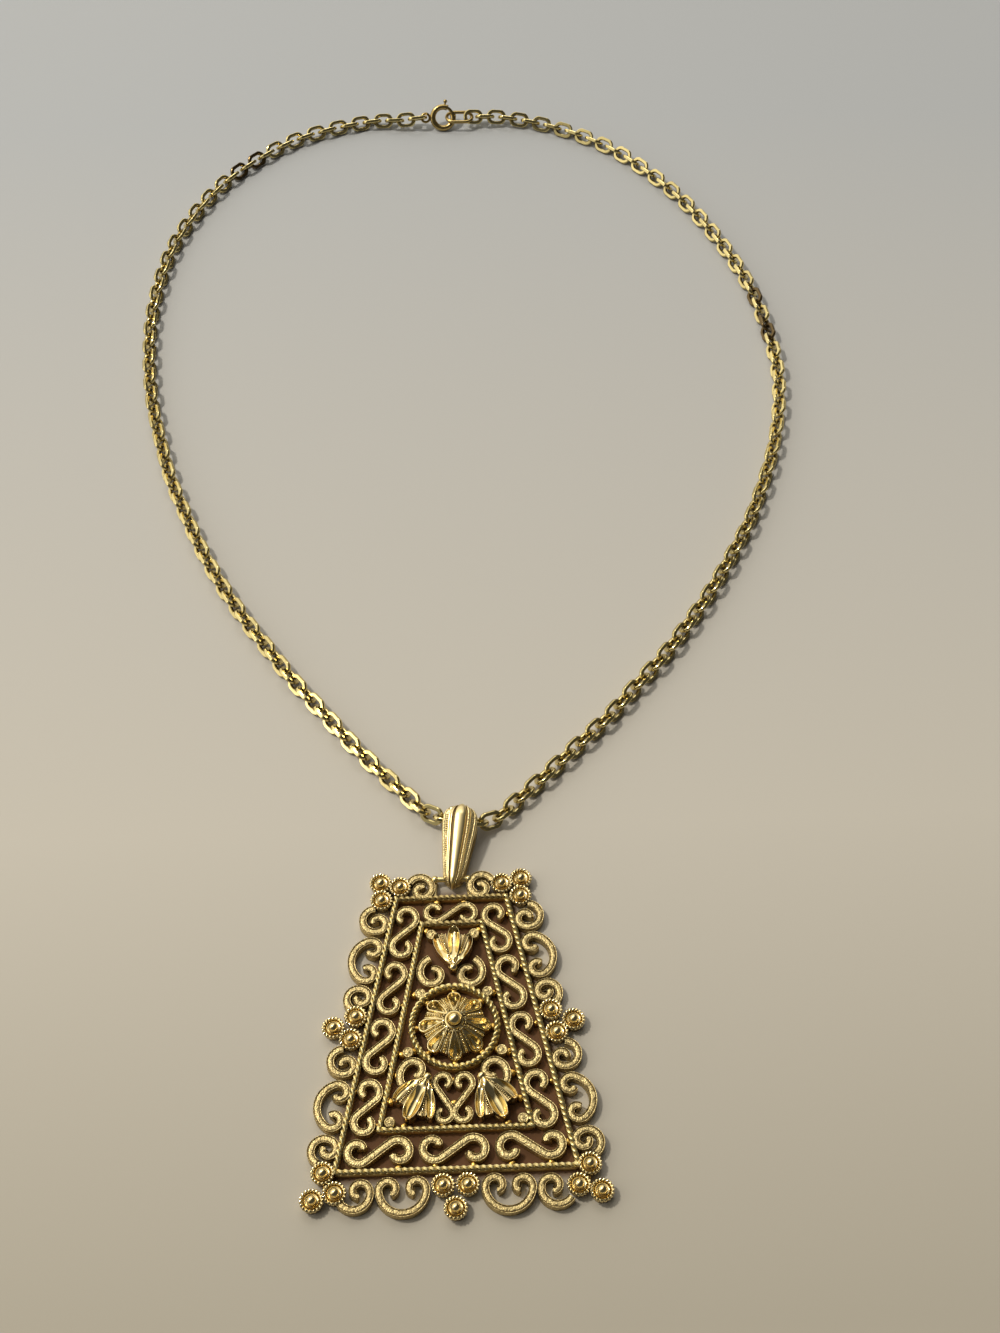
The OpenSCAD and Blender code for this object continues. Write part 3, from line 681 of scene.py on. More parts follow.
# The dome's petals: where they end, how wide they are there, and where and how wide they start
PETAL_END, PETAL_WIDE, PETAL_FOOT, PETAL_FOOT_HALF = 5.05, 1.3, 1.7, 0.3
# Profiles of (radius, height) and their relief: the dome's plain foot, and the collar
DOME_FOOT = [(5.1, 0.0), (5.15, 1.2), (4.9, 1.5), (0.5, 1.5)]
COLLAR = [(1.75, 3.6), (1.72, 4.3), (1.6, 4.52), (1.4, 4.6), (1.22, 4.5), (1.15, 4.3), (0.4, 4.2)]
COLLAR_RELIEF = [0.3, 0.8, 1, 1, 0.6, 0.1, 0.1]
COLLAR_BEADS, COLLAR_BEADS_R, COLLAR_BEADS_Z, COLLAR_BEAD_R = 24, 1.98, 4.12, 0.2
CENTRE_BALL_R, CENTRE_BALL_Z = 1.12, 4.78


def petal_inside(x, y):
    """How far a point is inside a petal's drop-shaped outline; negative outside."""
    share = np.clip((x - PETAL_FOOT) / (PETAL_END - PETAL_FOOT), 0, 1)
    half = PETAL_FOOT_HALF + (PETAL_WIDE - PETAL_FOOT_HALF) * share ** 0.85
    straight = (half - np.abs(y)) * 0.95
    past_foot = -np.hypot(PETAL_FOOT - x, np.maximum(0, np.abs(y) - PETAL_FOOT_HALF))
    straight = np.where(x < PETAL_FOOT, past_foot, straight)
    return np.where(x > PETAL_END, PETAL_WIDE - np.hypot(x - PETAL_END, y), straight)


def medallion_top(casting):
    """The dome of hollowed petals with beaded ribs between them, as one fine height field."""
    around, rings = 640, 92
    a = np.linspace(0, 360, around, endpoint=False)
    off = (a + SECTOR / 2) % SECTOR - SECTOR / 2
    side = PETAL_END * np.sin(np.radians(off))
    tip = PETAL_END * np.cos(np.radians(off)) + np.sqrt(np.maximum(0, PETAL_WIDE ** 2 - side ** 2))
    edge = np.where(np.abs(side) < PETAL_WIDE, np.maximum(tip, DOME_R), DOME_R) + 0.03
    v = np.linspace(0, 1, rings)[:, None]
    r = DOME_HOLE_R + v * (edge - DOME_HOLE_R)
    x, y = r * np.cos(np.radians(off)), r * np.sin(np.radians(off))
    z = np.interp(r, *np.array(DOME).T)
    inside = petal_inside(x, y)
    # Each petal has a round rim inside its outline and a hollow that deepens towards its end
    rim = 0.55 * bump(inside, 0.2, 0.21)
    scoop = smooth_step((inside - 0.3) / 0.6) * (0.2 - 1.0 * smooth_step((x - 2.0) / 2.2))
    z = z + np.where(inside > 0.2, 0.12, 0) * smooth_step((inside - 0.2) / 0.2) + rim + scoop
    # Between the petals: a fine line round each, and a beaded rib with a line on each flank
    fine = 0.18 * bump(inside, -0.2, 0.13)
    rib_off = a % SECTOR - SECTOR / 2
    rx, ry = r * np.cos(np.radians(rib_off)), r * np.sin(np.radians(rib_off))
    beads = 0.45 * bump(ry, 0, 0.28) * (0.5 + 0.5 * np.abs(np.cos(np.pi * rx / 0.45)))
    beads = beads * smooth_step((r - 2.0) / 0.2)
    flank = 0.14 * bump(np.abs(ry), 0.45, 0.12)
    outside = inside < 0.02
    z = z + np.where(outside, np.maximum(np.maximum(beads, fine), flank), 0)
    # Painted dark reflection in the hollows, and painted shade on the low ground between the ribs
    hollow = 1 - 0.35 * smooth_step((inside - 0.3) / 0.4)
    proud = np.clip((rim + np.where(outside, beads + fine + flank, 0)) / 0.2, 0.3, 1)
    relief = np.where(inside > 0.3, hollow, proud)
    flat = r[..., None] * heading(a)
    # Three rings below the top's edge make its wall: share of the radius, height, relief, which drops
    # downwards as painted shade
    for share, level, shade in ((1, z[-1] - 0.25, 0.5), (0.985, 0.9, 0.2), (0.97, 0.6, 0.1)):
        flat = np.concatenate([flat, share * r[-1][:, None] * heading(a)[None]])
        z = np.vstack([z, np.full(around, level)])
        relief = np.vstack([relief, np.full(around, shade)])
    casting.rings(np.concatenate([flat, z[..., None]], -1), relief)


def bead_row(casting, start, middle, end, radius):
    """Touching beads along a bent row, on a band that widens from its foot."""
    line, _ = resample(bent(np.linspace(0, 1, 40), start, middle, end), radius * 1.9)
    for x, y in line:
        casting.ball((x, y, BAND_TOP), radius, 10, 7)
    share, drop, relief = np.array(BAND_HALF + [(-u, z, k) for u, z, k in BAND_HALF[::-1]]).T
    half = np.linspace(*BAND_WIDENS, len(line))[:, None]
    casting.lay(line, half * share, BAND_TOP + drop, relief)


def petal(casting, origin, direction, bow, length, wide, rim, hollow):
    """A palmette's petal: a ridge at its foot that opens into a hollow inside a thin rim.

    bow turns its foot outwards, so that it curves; rim is the height of its rim at the middle.
    """
    # Shares of the way along it, closer together at its round end
    s = np.r_[np.linspace(0, 0.7, 26), 0.7 + 0.3 * np.sin(np.linspace(0, np.pi / 2, 22))[1:]]
    start = np.array(origin, float)
    middle = start + (0.62 if bow else 0.5) * length * heading(direction + bow)
    line = bent(s, start, middle, start + length * heading(direction))
    grows = 0.16 + 0.84 * np.sin(np.pi / 2 * np.minimum(1, s / PETAL_FULL)) ** 1.2
    past = np.maximum(0, s - PETAL_FULL) / (1 - PETAL_FULL)
    half = wide * np.where(s < PETAL_FULL, grows, np.sqrt(np.maximum(0.0003, 1 - past ** 2)))
    u = np.array([1, 1, 1, 0.97, 0.92, 0.87, 0.82, 0.75, 0.66, 0.56, 0.45, 0.34, 0.22, 0.1, 0])
    u = np.r_[u, -u[-2::-1]]
    edge = (rim - RIM_RISE * (1 - np.sin(np.pi * (0.1 + 0.8 * s))))[:, None]
    opens = (smooth_step((s - 0.12) / 0.45) * (1 - smooth_step((s - 0.88) / 0.11)))[:, None]
    bottom = edge + FOOT_RIDGE * (1 - opens) - hollow * opens
    inside = np.minimum(1, np.abs(u) / 0.84)
    rise = bottom + (edge - bottom) * inside ** (2.0 + 0.6 * opens) + 0.1 * bump(np.abs(u), 0.92, 0.08)
    # Its sides: three points stand over each other at each edge
    rise[:, [0, -1]] = 0.5
    rise[:, [1, -2]] = edge - 0.5
    rise[:, [2, -3]] = edge - 0.06
    # Painted dark reflection in each hollow, and painted shade on the petal's sides
    relief = 1 - 0.45 * opens * (1 - inside ** 4)
    relief[:, [0, 1, -1, -2]] = 0.4
    casting.lay(line, half[:, None] * u, rise, relief)


def drop_plate(casting, origin, direction, length, wide, top):
    """A flat drop-shaped plate under a petal or a band."""
    end, foot = length - wide, 0.6
    x = np.r_[np.linspace(0, end, 16), end + wide * np.sin(np.linspace(0, np.pi / 2, 10))[1:]]
    taper = foot + (wide - foot) * np.clip(x / end, 0, 1)
    tip = np.sqrt(np.maximum(0.0004, wide ** 2 - np.maximum(0, x - end) ** 2))
    half = np.where(x <= end, taper, tip)
    across = np.array([1, 1, 0.95, -0.95, -1, -1])
    rise = top * np.array([0, 0.93, 1, 1, 0.93, 0])
    line = np.array(origin, float) + x[:, None] * heading(direction)
    # The plate under a petal or band is painted dark as shade
    casting.lay(line, half[:, None] * across, rise, 0.25)


# Bail

# Ridges and grooves that run round the bail's skin: height in mm, middle and half width as
# shares of the bail's half width, pattern along them
BAIL_RIDGES = [
    (0.36, 0.02, 0.34, "plain"), (-0.2, -0.39, 0.06, "plain"), (-0.12, 0.4, 0.05, "plain"),
    (0.14, -0.49, 0.055, "plain"), (0.1, -0.61, 0.055, "plain"), (0.1, 0.66, 0.035, "plain"),
    (0.26, 0.52, 0.085, "beaded"), (0.07, 0.78, 0.1, "ribbed"), (0.07, -0.74, 0.09, "ribbed"),
    (0.2, -0.92, 0.08, "notched"), (0.14, 0.93, 0.07, "notched"),
]
# The least height of the skin over the floor
BAIL_CLEAR = 0.04


def loop_outline(rounds, steps):
    """The outline round two rounds of (y, z, radius), as (y, z) points.

    steps are the counts of points on the first round, the second and each straight between.
    """
    (ay, az, ar), (by, bz, br) = rounds
    gap = math.hypot(by - ay, bz - az)
    lean = math.atan2(bz - az, by - ay)
    spread = math.acos((ar - br) / gap)
    arcs = [
        ((by, bz), br, np.linspace(lean + spread, lean - spread, steps[1])),
        ((ay, az), ar, np.linspace(lean - spread, lean + spread - 2 * math.pi, steps[0])),
    ]
    parts = []
    for (cy, cz), radius, angles in arcs:
        parts.append(np.stack([cy + radius * np.cos(angles), cz + radius * np.sin(angles)], -1))
    out = []
    for k in range(2):
        out.append(parts[k][:-1])
        a, b = parts[k][-1], parts[(k + 1) % 2][0]
        out.append(a + np.linspace(0, 1, steps[2], endpoint=False)[:, None] * (b - a))
    return np.vstack(out)


def bail_relief(u, s):
    """Height over the bail's skin at a share u of its half width and s mm round it."""
    patterns = {"plain": 1, "ribbed": np.cos(2 * np.pi * s / 0.4)}
    for kind, low, repeat in (("beaded", 0.45, 0.53), ("notched", 0.35, 0.6)):
        patterns[kind] = low + (1 - low) * np.abs(np.cos(np.pi * s / repeat))
    return sum(high * bump(u, at, wide) * patterns[kind] for high, at, wide, kind in BAIL_RIDGES)


def bail_shell(casting):
    """The bail's folded loop, with its worked skin outside and a plain lining, leaning as it lies."""
    outer, inner = loop_outline(BAIL_OUT, BAIL_STEPS), loop_outline(BAIL_IN, BAIL_STEPS)
    along = np.roll(outer, -1, 0) - np.roll(outer, 1, 0)
    along /= np.linalg.norm(along, axis=1)[:, None]
    normal = np.stack([-along[:, 1], along[:, 0]], -1)
    middle = np.array(BAIL_MIDDLE)
    normal *= np.sign(np.einsum("ij,ij->i", normal, outer - middle))[:, None]
    s = np.r_[0, np.cumsum(np.linalg.norm(np.diff(outer, axis=0), axis=1))]
    half, half_in = (np.interp(line[:, 0], *np.array(BAIL_PLAN).T)[:, None] for line in (outer, inner))
    u = np.linspace(1, -1, 97)
    # The skin is crowned: it falls away towards its side edges
    crown = 0.3 * np.abs(u) ** 2.2 + 0.3 * np.abs(u) ** 9
    height = bail_relief(u, s[:, None]) - crown
    # Its under side stays plain, near the floor
    under = smooth_step((1.1 - outer[:, 1:]) / 0.9)
    height = np.where(height > 0, height * (1 - under), height * (1 - 0.5 * under))
    skin = outer[:, None] + normal[:, None] * height[..., None]
    # The lining's sides are drawn in a little
    drop = np.stack([np.ones(len(u)), 1 - 0.1 * np.abs(u) ** 3], -1)
    lining = middle + (inner[:, None] - middle) * drop
    x = np.hstack([half * u, half_in * u[::-1] * 0.985])
    y, z = np.moveaxis(np.concatenate([skin, lining], 1), -1, 0)
    z[:, :len(u)] = np.maximum(BAIL_CLEAR, z[:, :len(u)])
    worked = np.clip((height + crown + 0.12) / 0.2, 0, 1)
    lean = math.radians(-BAIL_LEAN)
    turned = np.stack([
        BAIL_X + x * math.cos(lean) - y * math.sin(lean),
        BAR_Y + x * math.sin(lean) + y * math.cos(lean),
        z,
    ], -1)
    # The lining inside the loop is painted dark as shade; the skin's grooves are darker than its ridges,
    # patina and painted shade
    relief = np.hstack([worked, np.full(worked.shape, 0.2)])
    casting.add(turned.reshape(-1, 3), [grid_faces(*x.shape, True, True)], relief.ravel())


# Chain


def chain_path():
    """The chain's smooth centre line and the run along it, worked as in the part's source."""
    p = np.array([q if len(q) == 3 else (*q, REST_Z) for q in ROUTE], float)
    p = np.vstack([2 * p[0] - p[1], p, 2 * p[-1] - p[-2]])
    t = (np.arange(ROUTE_STEPS) / ROUTE_STEPS)[:, None]
    out = []
    for i in range(1, len(p) - 2):
        a, b, c, d = p[i - 1:i + 3]
        bends = (2 * a - 5 * b + 4 * c - d) * t ** 2 + (3 * b - a - 3 * c + d) * t ** 3
        out.append(0.5 * (2 * b + (c - a) * t + bends))
    out.append(p[-2:-1])
    path = np.vstack(out)
    return path, np.r_[0, np.cumsum(np.linalg.norm(np.diff(path, axis=0), axis=1))]


def link_places():
    """For each link its number, middle and turn matrix."""
    path, run = chain_path()

    def at(s):
        """The place on the route at the run s."""
        return np.array([np.interp(s, run, path[:, k]) for k in range(3)])

    middle = run[BAIL_POINT * ROUTE_STEPS]
    places = []
    for i in range(-LEFT_LINKS, RIGHT_LINKS + 1):
        pitch = middle / LEFT_LINKS if i < 0 else (run[-1] - middle) / RIGHT_LINKS
        s = middle + i * pitch
        t = at(s + LINK_REACH) - at(s - LINK_REACH)
        t /= np.linalg.norm(t)
        turn = (
            Matrix.Rotation(math.atan2(t[1], t[0]), 3, "Z")
            @ Matrix.Rotation(-math.asin(t[2]), 3, "Y")
            @ Matrix.Rotation(math.radians(-LINK_TILT if i % 2 else LINK_TILT), 3, "X")
        )
        places.append((i, at(s), np.array(turn)))
    return places


def link_shape(length, width, wire, cut):
    """One link about its own centre: round wire bent to an oval, its long sides cut flat."""
    half, end_r, r = (length - width) / 2, (width - wire) / 2, wire / 2
    turn = np.linspace(-np.pi / 2, np.pi / 2, 23)
    # Half of the link: the round of its end, then one long side, each with its outward way
    round_way = np.column_stack([np.cos(turn), np.sin(turn)])
    side = np.column_stack([np.linspace(half, -half, 7)[1:-1], np.full(5, end_r)])
    line = np.vstack([(half, 0) + end_r * round_way, side])
    out = np.vstack([round_way, np.tile([0.0, 1.0], (5, 1))])
    line, out = np.vstack([line, -line]), np.vstack([out, -out])
    a = np.linspace(0, 2 * np.pi, 16, endpoint=False) + np.pi / 16
    flat = line[:, None] + out[:, None] * (r * np.cos(a))[:, None]
    rise = np.tile(r * np.sin(a), (len(line), 1))
    # The cut runs along the outer sides and a little round the ends, and the faces are rolled flat
    limit = width / 2 - cut
    y, z = np.clip(flat[..., 1], -limit, limit), np.clip(rise, -0.8 * r, 0.8 * r)
    points = np.stack([flat[..., 0], y, z], -1)
    relief = np.tile(1 - 0.75 * (0.5 - 0.5 * np.cos(a)) ** 2, len(line))
    return points.reshape(-1, 3), grid_faces(*rise.shape, True, True), relief


# Materials


# How fast a crevice goes dark with painted shade, and the share of open, proud metal at
# which it has its clean colour, free of patina and painted shade
SKY_CONTRAST, CLEAN_AND_UNSHADED = 1.6, 0.55
# Shine that is left between grains, in the cloudiest spots and where the tone is highest: on tarnished
# links, and under painted shade
GAP_SHINE, CLOUD_SHINE, DULL_SHINE = 0.45, 0.86, 0.4
CLOUD_MM = 2.5
# The chain's dark colour serves its grime and the painted shade in its crevices and on its wires' inner
# sides; the clasp's only its patchy wear
CHAIN_DIRT_AND_SHADE, CLASP_DIRT = "4A3818", "3A2C16"
# The floor: y in metres where its colours of painted light falloff end, how far the painted shade runs
# over the frame's edge
FLOOR_LOW_Y, FLOOR_NEAR_Y, FLOOR_FAR_Y = -0.05, 0.04, 0.24
SHADE_FULL_MM, SHADE_END_MM = 0.3, 3.2


def add_node(tree, kind, inputs=None, out=0, **settings):
    """Adds a shader node, sets it, links or sets its inputs, and gives its output out, if any."""
    made = tree.nodes.new("ShaderNode" + kind)
    for key, value in settings.items():
        setattr(made, key, value)
    for key, value in (inputs or {}).items():
        if isinstance(value, bpy.types.NodeSocket):
            tree.links.new(value, made.inputs[key])
        else:
            made.inputs[key].default_value = value
    return made.outputs[out] if made.outputs else None


def new_material(name):
    """A material with an empty tree, and where the tree's textures lie."""
    made = bpy.data.materials.get(name) or bpy.data.materials.new(name)
    made.use_nodes = True
    made.node_tree.nodes.clear()
    return made, made.node_tree, add_node(made.node_tree, "TexCoord", out="Object")


def add_surface(tree, inputs):
    """The tree's shader and output."""
    add_node(tree, "OutputMaterial", {"Surface": add_node(tree, "BsdfPrincipled", inputs)})


def per_mm(size):
    """Texture scale for a pattern whose repeat is size millimetres, on coordinates in metres."""
    return 1 / (size * MM)


def metal(
    name, clean, dark_colour, rough, grain_mm, grain_depth, pebbled=False, crevice_mm=0.5, dark_depth=1.0,
    rough_dark=0.55, tarnish=None,
):
    """Gold-tone brass: clean on what stands proud, with patina where cloth and fingers don't reach, and
    painted shade in crevices and on low relief.
    """
    made, tree, place_at = new_material(name)
    relief = add_node(tree, "Attribute", out="Fac", attribute_name="relief")
    tone = add_node(tree, "Attribute", out="Fac", attribute_name="tone")
    # Painted shade: ambient occlusion darkens the crevices towards the patina colour
    sky = add_node(tree, "AmbientOcclusion", {"Distance": crevice_mm * MM}, "AO", samples=6)
    sky = add_node(tree, "Math", {0: sky, 1: SKY_CONTRAST}, operation="POWER")
    proud = add_node(tree, "Math", {0: sky, 1: relief}, operation="MULTIPLY")
    amount = add_node(tree, "MapRange", {"Value": proud, "From Max": CLEAN_AND_UNSHADED, "To Min": 1 - dark_depth})
    cloud = add_node(tree, "TexNoise", {"Vector": place_at, "Scale": per_mm(CLOUD_MM), "Detail": 3.0})
    ends = {"From Min": 0.3, "From Max": 0.7, "To Min": CLOUD_SHINE}
    cloud = add_node(tree, "MapRange", {"Value": cloud, **ends})
    shine = add_node(tree, "MapRange", {"Value": tone, "To Min": 1.0, "To Max": DULL_SHINE})
    grain = {"Vector": place_at, "Scale": per_mm(grain_mm)}
    if pebbled:
        grain = add_node(tree, "TexVoronoi", grain, "Distance")
        ends = {"From Min": 0.25, "From Max": 0.7, "To Min": 1.0, "To Max": GAP_SHINE}
        grain = add_node(tree, "MapRange", {"Value": grain, **ends})
        amount = add_node(tree, "Math", {0: amount, 1: grain}, operation="MULTIPLY")
    else:
        grain = add_node(tree, "TexNoise", {**grain, "Detail": 2.0})
    for part in (cloud, shine):
        amount = add_node(tree, "Math", {0: amount, 1: part}, operation="MULTIPLY")
    colour = add_node(tree, "Mix", {"Factor": amount, 6: (*dark_colour, 1), 7: (*clean, 1)}, 2, data_type="RGBA")
    if tarnish:
        colour = add_node(tree, "Mix", {"Factor": tone, 6: colour, 7: (*tarnish, 1)}, 2, data_type="RGBA")
    roughness = add_node(tree, "MapRange", {"Value": amount, "To Min": rough_dark, "To Max": rough})
    raised = add_node(tree, "Bump", {"Height": grain, "Strength": 1.0, "Distance": grain_depth * MM})
    add_surface(tree, {"Base Color": colour, "Metallic": 1.0, "Roughness": roughness, "Normal": raised})
    return made


def frosted_gold(colours):
    """Granulated gold-tone brass: pale and matt, with pebbled grains that catch small lights.

    The real grains are too fine to be counted; they are drawn at 0.3 mm, coarse enough to show.
    """
    return metal(
        "granulated_brass", colours.frosted, colours.patina_and_shade, rough=0.42, grain_mm=0.3,
        grain_depth=0.06, pebbled=True, crevice_mm=0.4,
    )


def bright_gold(colours):
    """Twisted and turned gold-tone brass wire: bright where it stands proud."""
    return metal(
        "bright_brass_wire", colours.gold, colours.patina_and_shade, rough=0.3, grain_mm=0.5,
        grain_depth=0.004, crevice_mm=0.3, dark_depth=0.85,
    )


def polished_gold(colours, name="polished_brass", rough=0.1):
    """Polished gold-tone brass: mirror-like hollows and balls."""
    return metal(
        name, colours.polished, colours.patina_and_shade, rough=rough, grain_mm=0.9, grain_depth=0.003,
        crevice_mm=0.7, dark_depth=0.85,
    )


def fused_solder(colours):
    """Fused brass solder: smoother and more orange than the rest."""
    return metal(
        "fused_solder", colours.solder, colours.patina_and_shade, rough=0.3, grain_mm=0.7, grain_depth=0.02
    )


def worn_brass(colours):
    """Worn brass of the clasp: browner and duller than the rest, still bright on its high points."""
    return metal(
        "worn_brass_clasp", colours.clasp, linear(CLASP_DIRT), rough=0.22, grain_mm=0.8,
        grain_depth=0.006, dark_depth=0.0,
    )


def chain_metal(colours):
    """Brass wire, drawn and diamond cut: bright on the cuts, a few links gone dark with tarnish."""
    return metal(
        "cut_brass_chain", colours.chain, linear(CHAIN_DIRT_AND_SHADE), rough=0.14, grain_mm=0.6,
        grain_depth=0.004, crevice_mm=0.9, dark_depth=0.85, rough_dark=0.4, tarnish=colours.tarnish,
    )


def floor_material(colours):
    """Plain matt board: pale warm grey that cools towards the back, with a faint fibre.

    The real pendant stands a little hollow over the surface, so that its openings look into
    deep shade; that shade is painted on the board, dark inside the pendant's outer frame.
    """
    made, tree, place_at = new_material("pale_matt_board")
    x = add_node(tree, "SeparateXYZ", {0: place_at}, "X")
    y = add_node(tree, "SeparateXYZ", {0: place_at}, "Y")
    # Painted falloff of the light: darker towards the front, darker and cooler towards the back
    low = add_node(tree, "MapRange", {"Value": y, "From Min": FLOOR_NEAR_Y, "From Max": FLOOR_LOW_Y})
    far = add_node(tree, "MapRange", {"Value": y, "From Min": FLOOR_NEAR_Y, "From Max": FLOOR_FAR_Y})
    # How far a point is beyond the frame's slanting side and its level ends
    (tx, ty), (bx, by) = OUTER_FRAME[1], OUTER_FRAME[2]
    slope = (bx - tx) / (ty - by)
    side = add_node(tree, "Math", {0: x}, operation="ABSOLUTE")
    side = add_node(tree, "Math", {0: y, 1: slope, 2: side}, operation="MULTIPLY_ADD")
    side = add_node(tree, "Math", {0: side, 1: (tx + slope * ty) * MM}, operation="SUBTRACT")
    end = add_node(tree, "Math", {0: y}, operation="ABSOLUTE")
    end = add_node(tree, "Math", {0: end, 1: ty * MM}, operation="SUBTRACT")
    beyond = add_node(tree, "Math", {0: side, 1: end}, operation="MAXIMUM")
    # Painted shade: the board is painted dark inside the pendant's outer frame
    ends = {"From Min": SHADE_FULL_MM * MM, "From Max": SHADE_END_MM * MM, "To Min": 1.0, "To Max": 0.0}
    shade = add_node(tree, "MapRange", {"Value": beyond, **ends}, interpolation_type="SMOOTHSTEP")
    colour = (*colours.floor_near, 1)
    for part, tint in ((low, colours.floor_low), (far, colours.floor_far), (shade, colours.floor_painted_shade)):
        colour = add_node(tree, "Mix", {"Factor": part, 6: colour, 7: (*tint, 1)}, 2, data_type="RGBA")
    fibre = add_node(tree, "TexNoise", {"Vector": place_at, "Scale": per_mm(1.2), "Detail": 4.0})
    raised = add_node(tree, "Bump", {"Height": fibre, "Strength": 0.25, "Distance": 0.05 * MM})
    add_surface(tree, {
        "Base Color": colour, "Roughness": 0.75, "Specular IOR Level": 0.25, "Normal": raised,
    })
    return made


# Operators, one for each piece or group of like pieces


class MakeScrolls(bpy.types.Operator):
    """Makes the pendant's granulated S and C scrolls and hooks"""

    bl_idname = "necklace.make_scrolls"
    bl_label = "Make scrolls"

    def execute(self, context):
        half = context.scene.necklace_sizes.ribbon_width / MM / 2
        grain = np.random.default_rng(11)
        casting = Casting()
        for i, (line, darkening) in enumerate(scroll_lines(half)):
            ribbon(casting, line, SCROLL_LIFT * (i % 4), darkening, grain)
        frosted = frosted_gold(context.scene.necklace_colours)
        casting.build("pendant_scrolls", "pendant", frosted, sharp=60)
        return {"FINISHED"}


class MakeRopes(bpy.types.Operator):
    """Makes the two frames and the medallion's ring of twisted wire on plain bars"""

    bl_idname = "necklace.make_ropes"
    bl_label = "Make ropes"

    def execute(self, context):
        sizes = context.scene.necklace_sizes
        lay = sizes.rope_lay / MM
        casting = Casting()
        for corners in np.array([OUTER_FRAME, INNER_FRAME]):
            # Each side is a length of its own; the upright ones are twisted the other way
            for k, (hand, darkening) in enumerate(ROPE_SIDES):
                a, b = corners[k], corners[(k + 1) % 4]
                past = ROPE_PAST * (b - a) / np.linalg.norm(b - a)
                side = np.array([a - past, b + past])
                rope(casting, side, sizes.rope_diameter / MM, lay, FRAME_ROPE_TOP, hand, darkening)
            bar(casting, rounded_loop(corners), *FRAME_BAR)
        ring = RING_R * heading(np.linspace(0, 360, 180, endpoint=False))
        rope(casting, ring, sizes.ring_rope_diameter / MM, lay, RING_ROPE_TOP, closed=True)
        bar(casting, ring, *RING_BAR)
        casting.build("pendant_ropes", "pendant", bright_gold(context.scene.necklace_colours))
        return {"FINISHED"}


class MakeRosettes(bpy.types.Operator):
    """Makes the small cups with toothed rims and polished balls"""

    bl_idname = "necklace.make_rosettes"
    bl_label = "Make rosettes"

    def execute(self, context):
        casting = Casting()
        right = [(RIGHT_SHIFT[0] - x, RIGHT_SHIFT[1] + y) for x, y in SIDE_ROSETTES]
        for i, (x, y) in enumerate(SIDE_ROSETTES + right + LOW_ROSETTES):
            rosette(casting, x, y, ROSETTE_TURN * i)
        casting.build("pendant_rosettes", "pendant", polished_gold(context.scene.necklace_colours))
        return {"FINISHED"}


class MakeMedallion(bpy.types.Operator):
    """Makes the domed medallion of hollowed petals with its collar and ball"""

    bl_idname = "necklace.make_medallion"
    bl_label = "Make medallion"

    def execute(self, context):
        casting = Casting()
        medallion_top(casting)
        # The plain foot under the dome's edge is painted dark as shade
        casting.turned(DOME_FOOT, (0, 0, 0), 64, 0.15)
        casting.turned(COLLAR, (0, 0, 0), 48, COLLAR_RELIEF)
        casting.ball((0, 0, CENTRE_BALL_Z), CENTRE_BALL_R, 36, 22)
        for x, y in COLLAR_BEADS_R * heading(np.arange(COLLAR_BEADS) * 360 / COLLAR_BEADS):
            casting.ball((x, y, COLLAR_BEADS_Z), COLLAR_BEAD_R, 9, 6)
        casting.build("pendant_medallion", "pendant", polished_gold(context.scene.necklace_colours))
        return {"FINISHED"}


class MakePalmettes(bpy.types.Operator):
    """Makes the three palmettes of hollowed petals with beaded bands between"""

    bl_idname = "necklace.make_palmettes"
    bl_label = "Make palmettes"

    def execute(self, context):
        bead = context.scene.necklace_sizes.bead_diameter / MM / 2
        casting = Casting()
        for x, y, direction, hand in PALMETTES:
            petals, bands = (LOW_PETALS, LOW_BANDS) if y < 0 else (TOP_PETALS, TOP_BANDS)
            foot = np.array([x, y])
            for turn, bow, reach in bands:
                way = direction + hand * turn
                drop_plate(casting, foot, way, reach, BAND_PLATE_HALF, BAND_PLATE_TOP)
                start = foot + BAND_START * heading(way + hand * bow)
                bend = foot + 0.6 * reach * heading(way + 0.5 * hand * bow)
                bead_row(casting, start, bend, foot + reach * heading(way), bead)
            for turn, bow, length, wide, rim, hollow in petals:
                way = direction + hand * turn
                drop_plate(casting, foot, way, length - PLATE_SHORT, wide - PLATE_NARROW, PLATE_TOP)
                petal(casting, foot, way, hand * math.copysign(bow, turn), length, wide, rim, hollow)
            casting.ball((x, y, FOOT_BALL_Z), FOOT_BALL_R, 24, 14)
        casting.build("pendant_palmettes", "pendant", polished_gold(context.scene.necklace_colours))
        return {"FINISHED"}


class MakeJoints(bpy.types.Operator):
    """Makes the solder beads, the granulated discs and the bar that the bail hangs on"""

    bl_idname = "necklace.make_joints"
    bl_label = "Make joints"

    def execute(self, context):
        colours = context.scene.necklace_colours
        grain = np.random.default_rng(5)
        beads, discs, hanger = Casting(), Casting(), Casting()
        ring = RING_SOLDER_R * heading(SECTOR * np.arange(PETAL_COUNT))
        for places, size in ((JOINTS, JOINT_SOLDER), (rope_touches(), TOUCH_SOLDER), (ring, RING_SOLDER)):
            for x, y in places:
                solder(beads, x, y, *size, grain)
        beads.build("pendant_solder", "pendant", fused_solder(colours))
        for x, y in DISCS:
            disc(discs, x, y, grain)
            disc(discs, -x, y, grain)
        discs.build("pendant_discs", "pendant", frosted_gold(colours))
        round_bar(hanger, (-BAR_HALF, BAR_Y, BAR_Z), (BAR_HALF, BAR_Y, BAR_Z), BAR_R)
        for side in (-1, 1):
            hanger.ball((side * BAR_HALF, BAR_Y, BAR_Z), BAR_KNOB_R, 20, 12)
            post = np.array([(side * BAR_HALF, BAR_Y), (side * POST_FOOT[0], POST_FOOT[1])])
            hanger.lay(resample(post, 0.4)[0], *np.array(POST).T, 0.25)
        hanger.build("pendant_hanger", "pendant", bright_gold(colours))
        return {"FINISHED"}


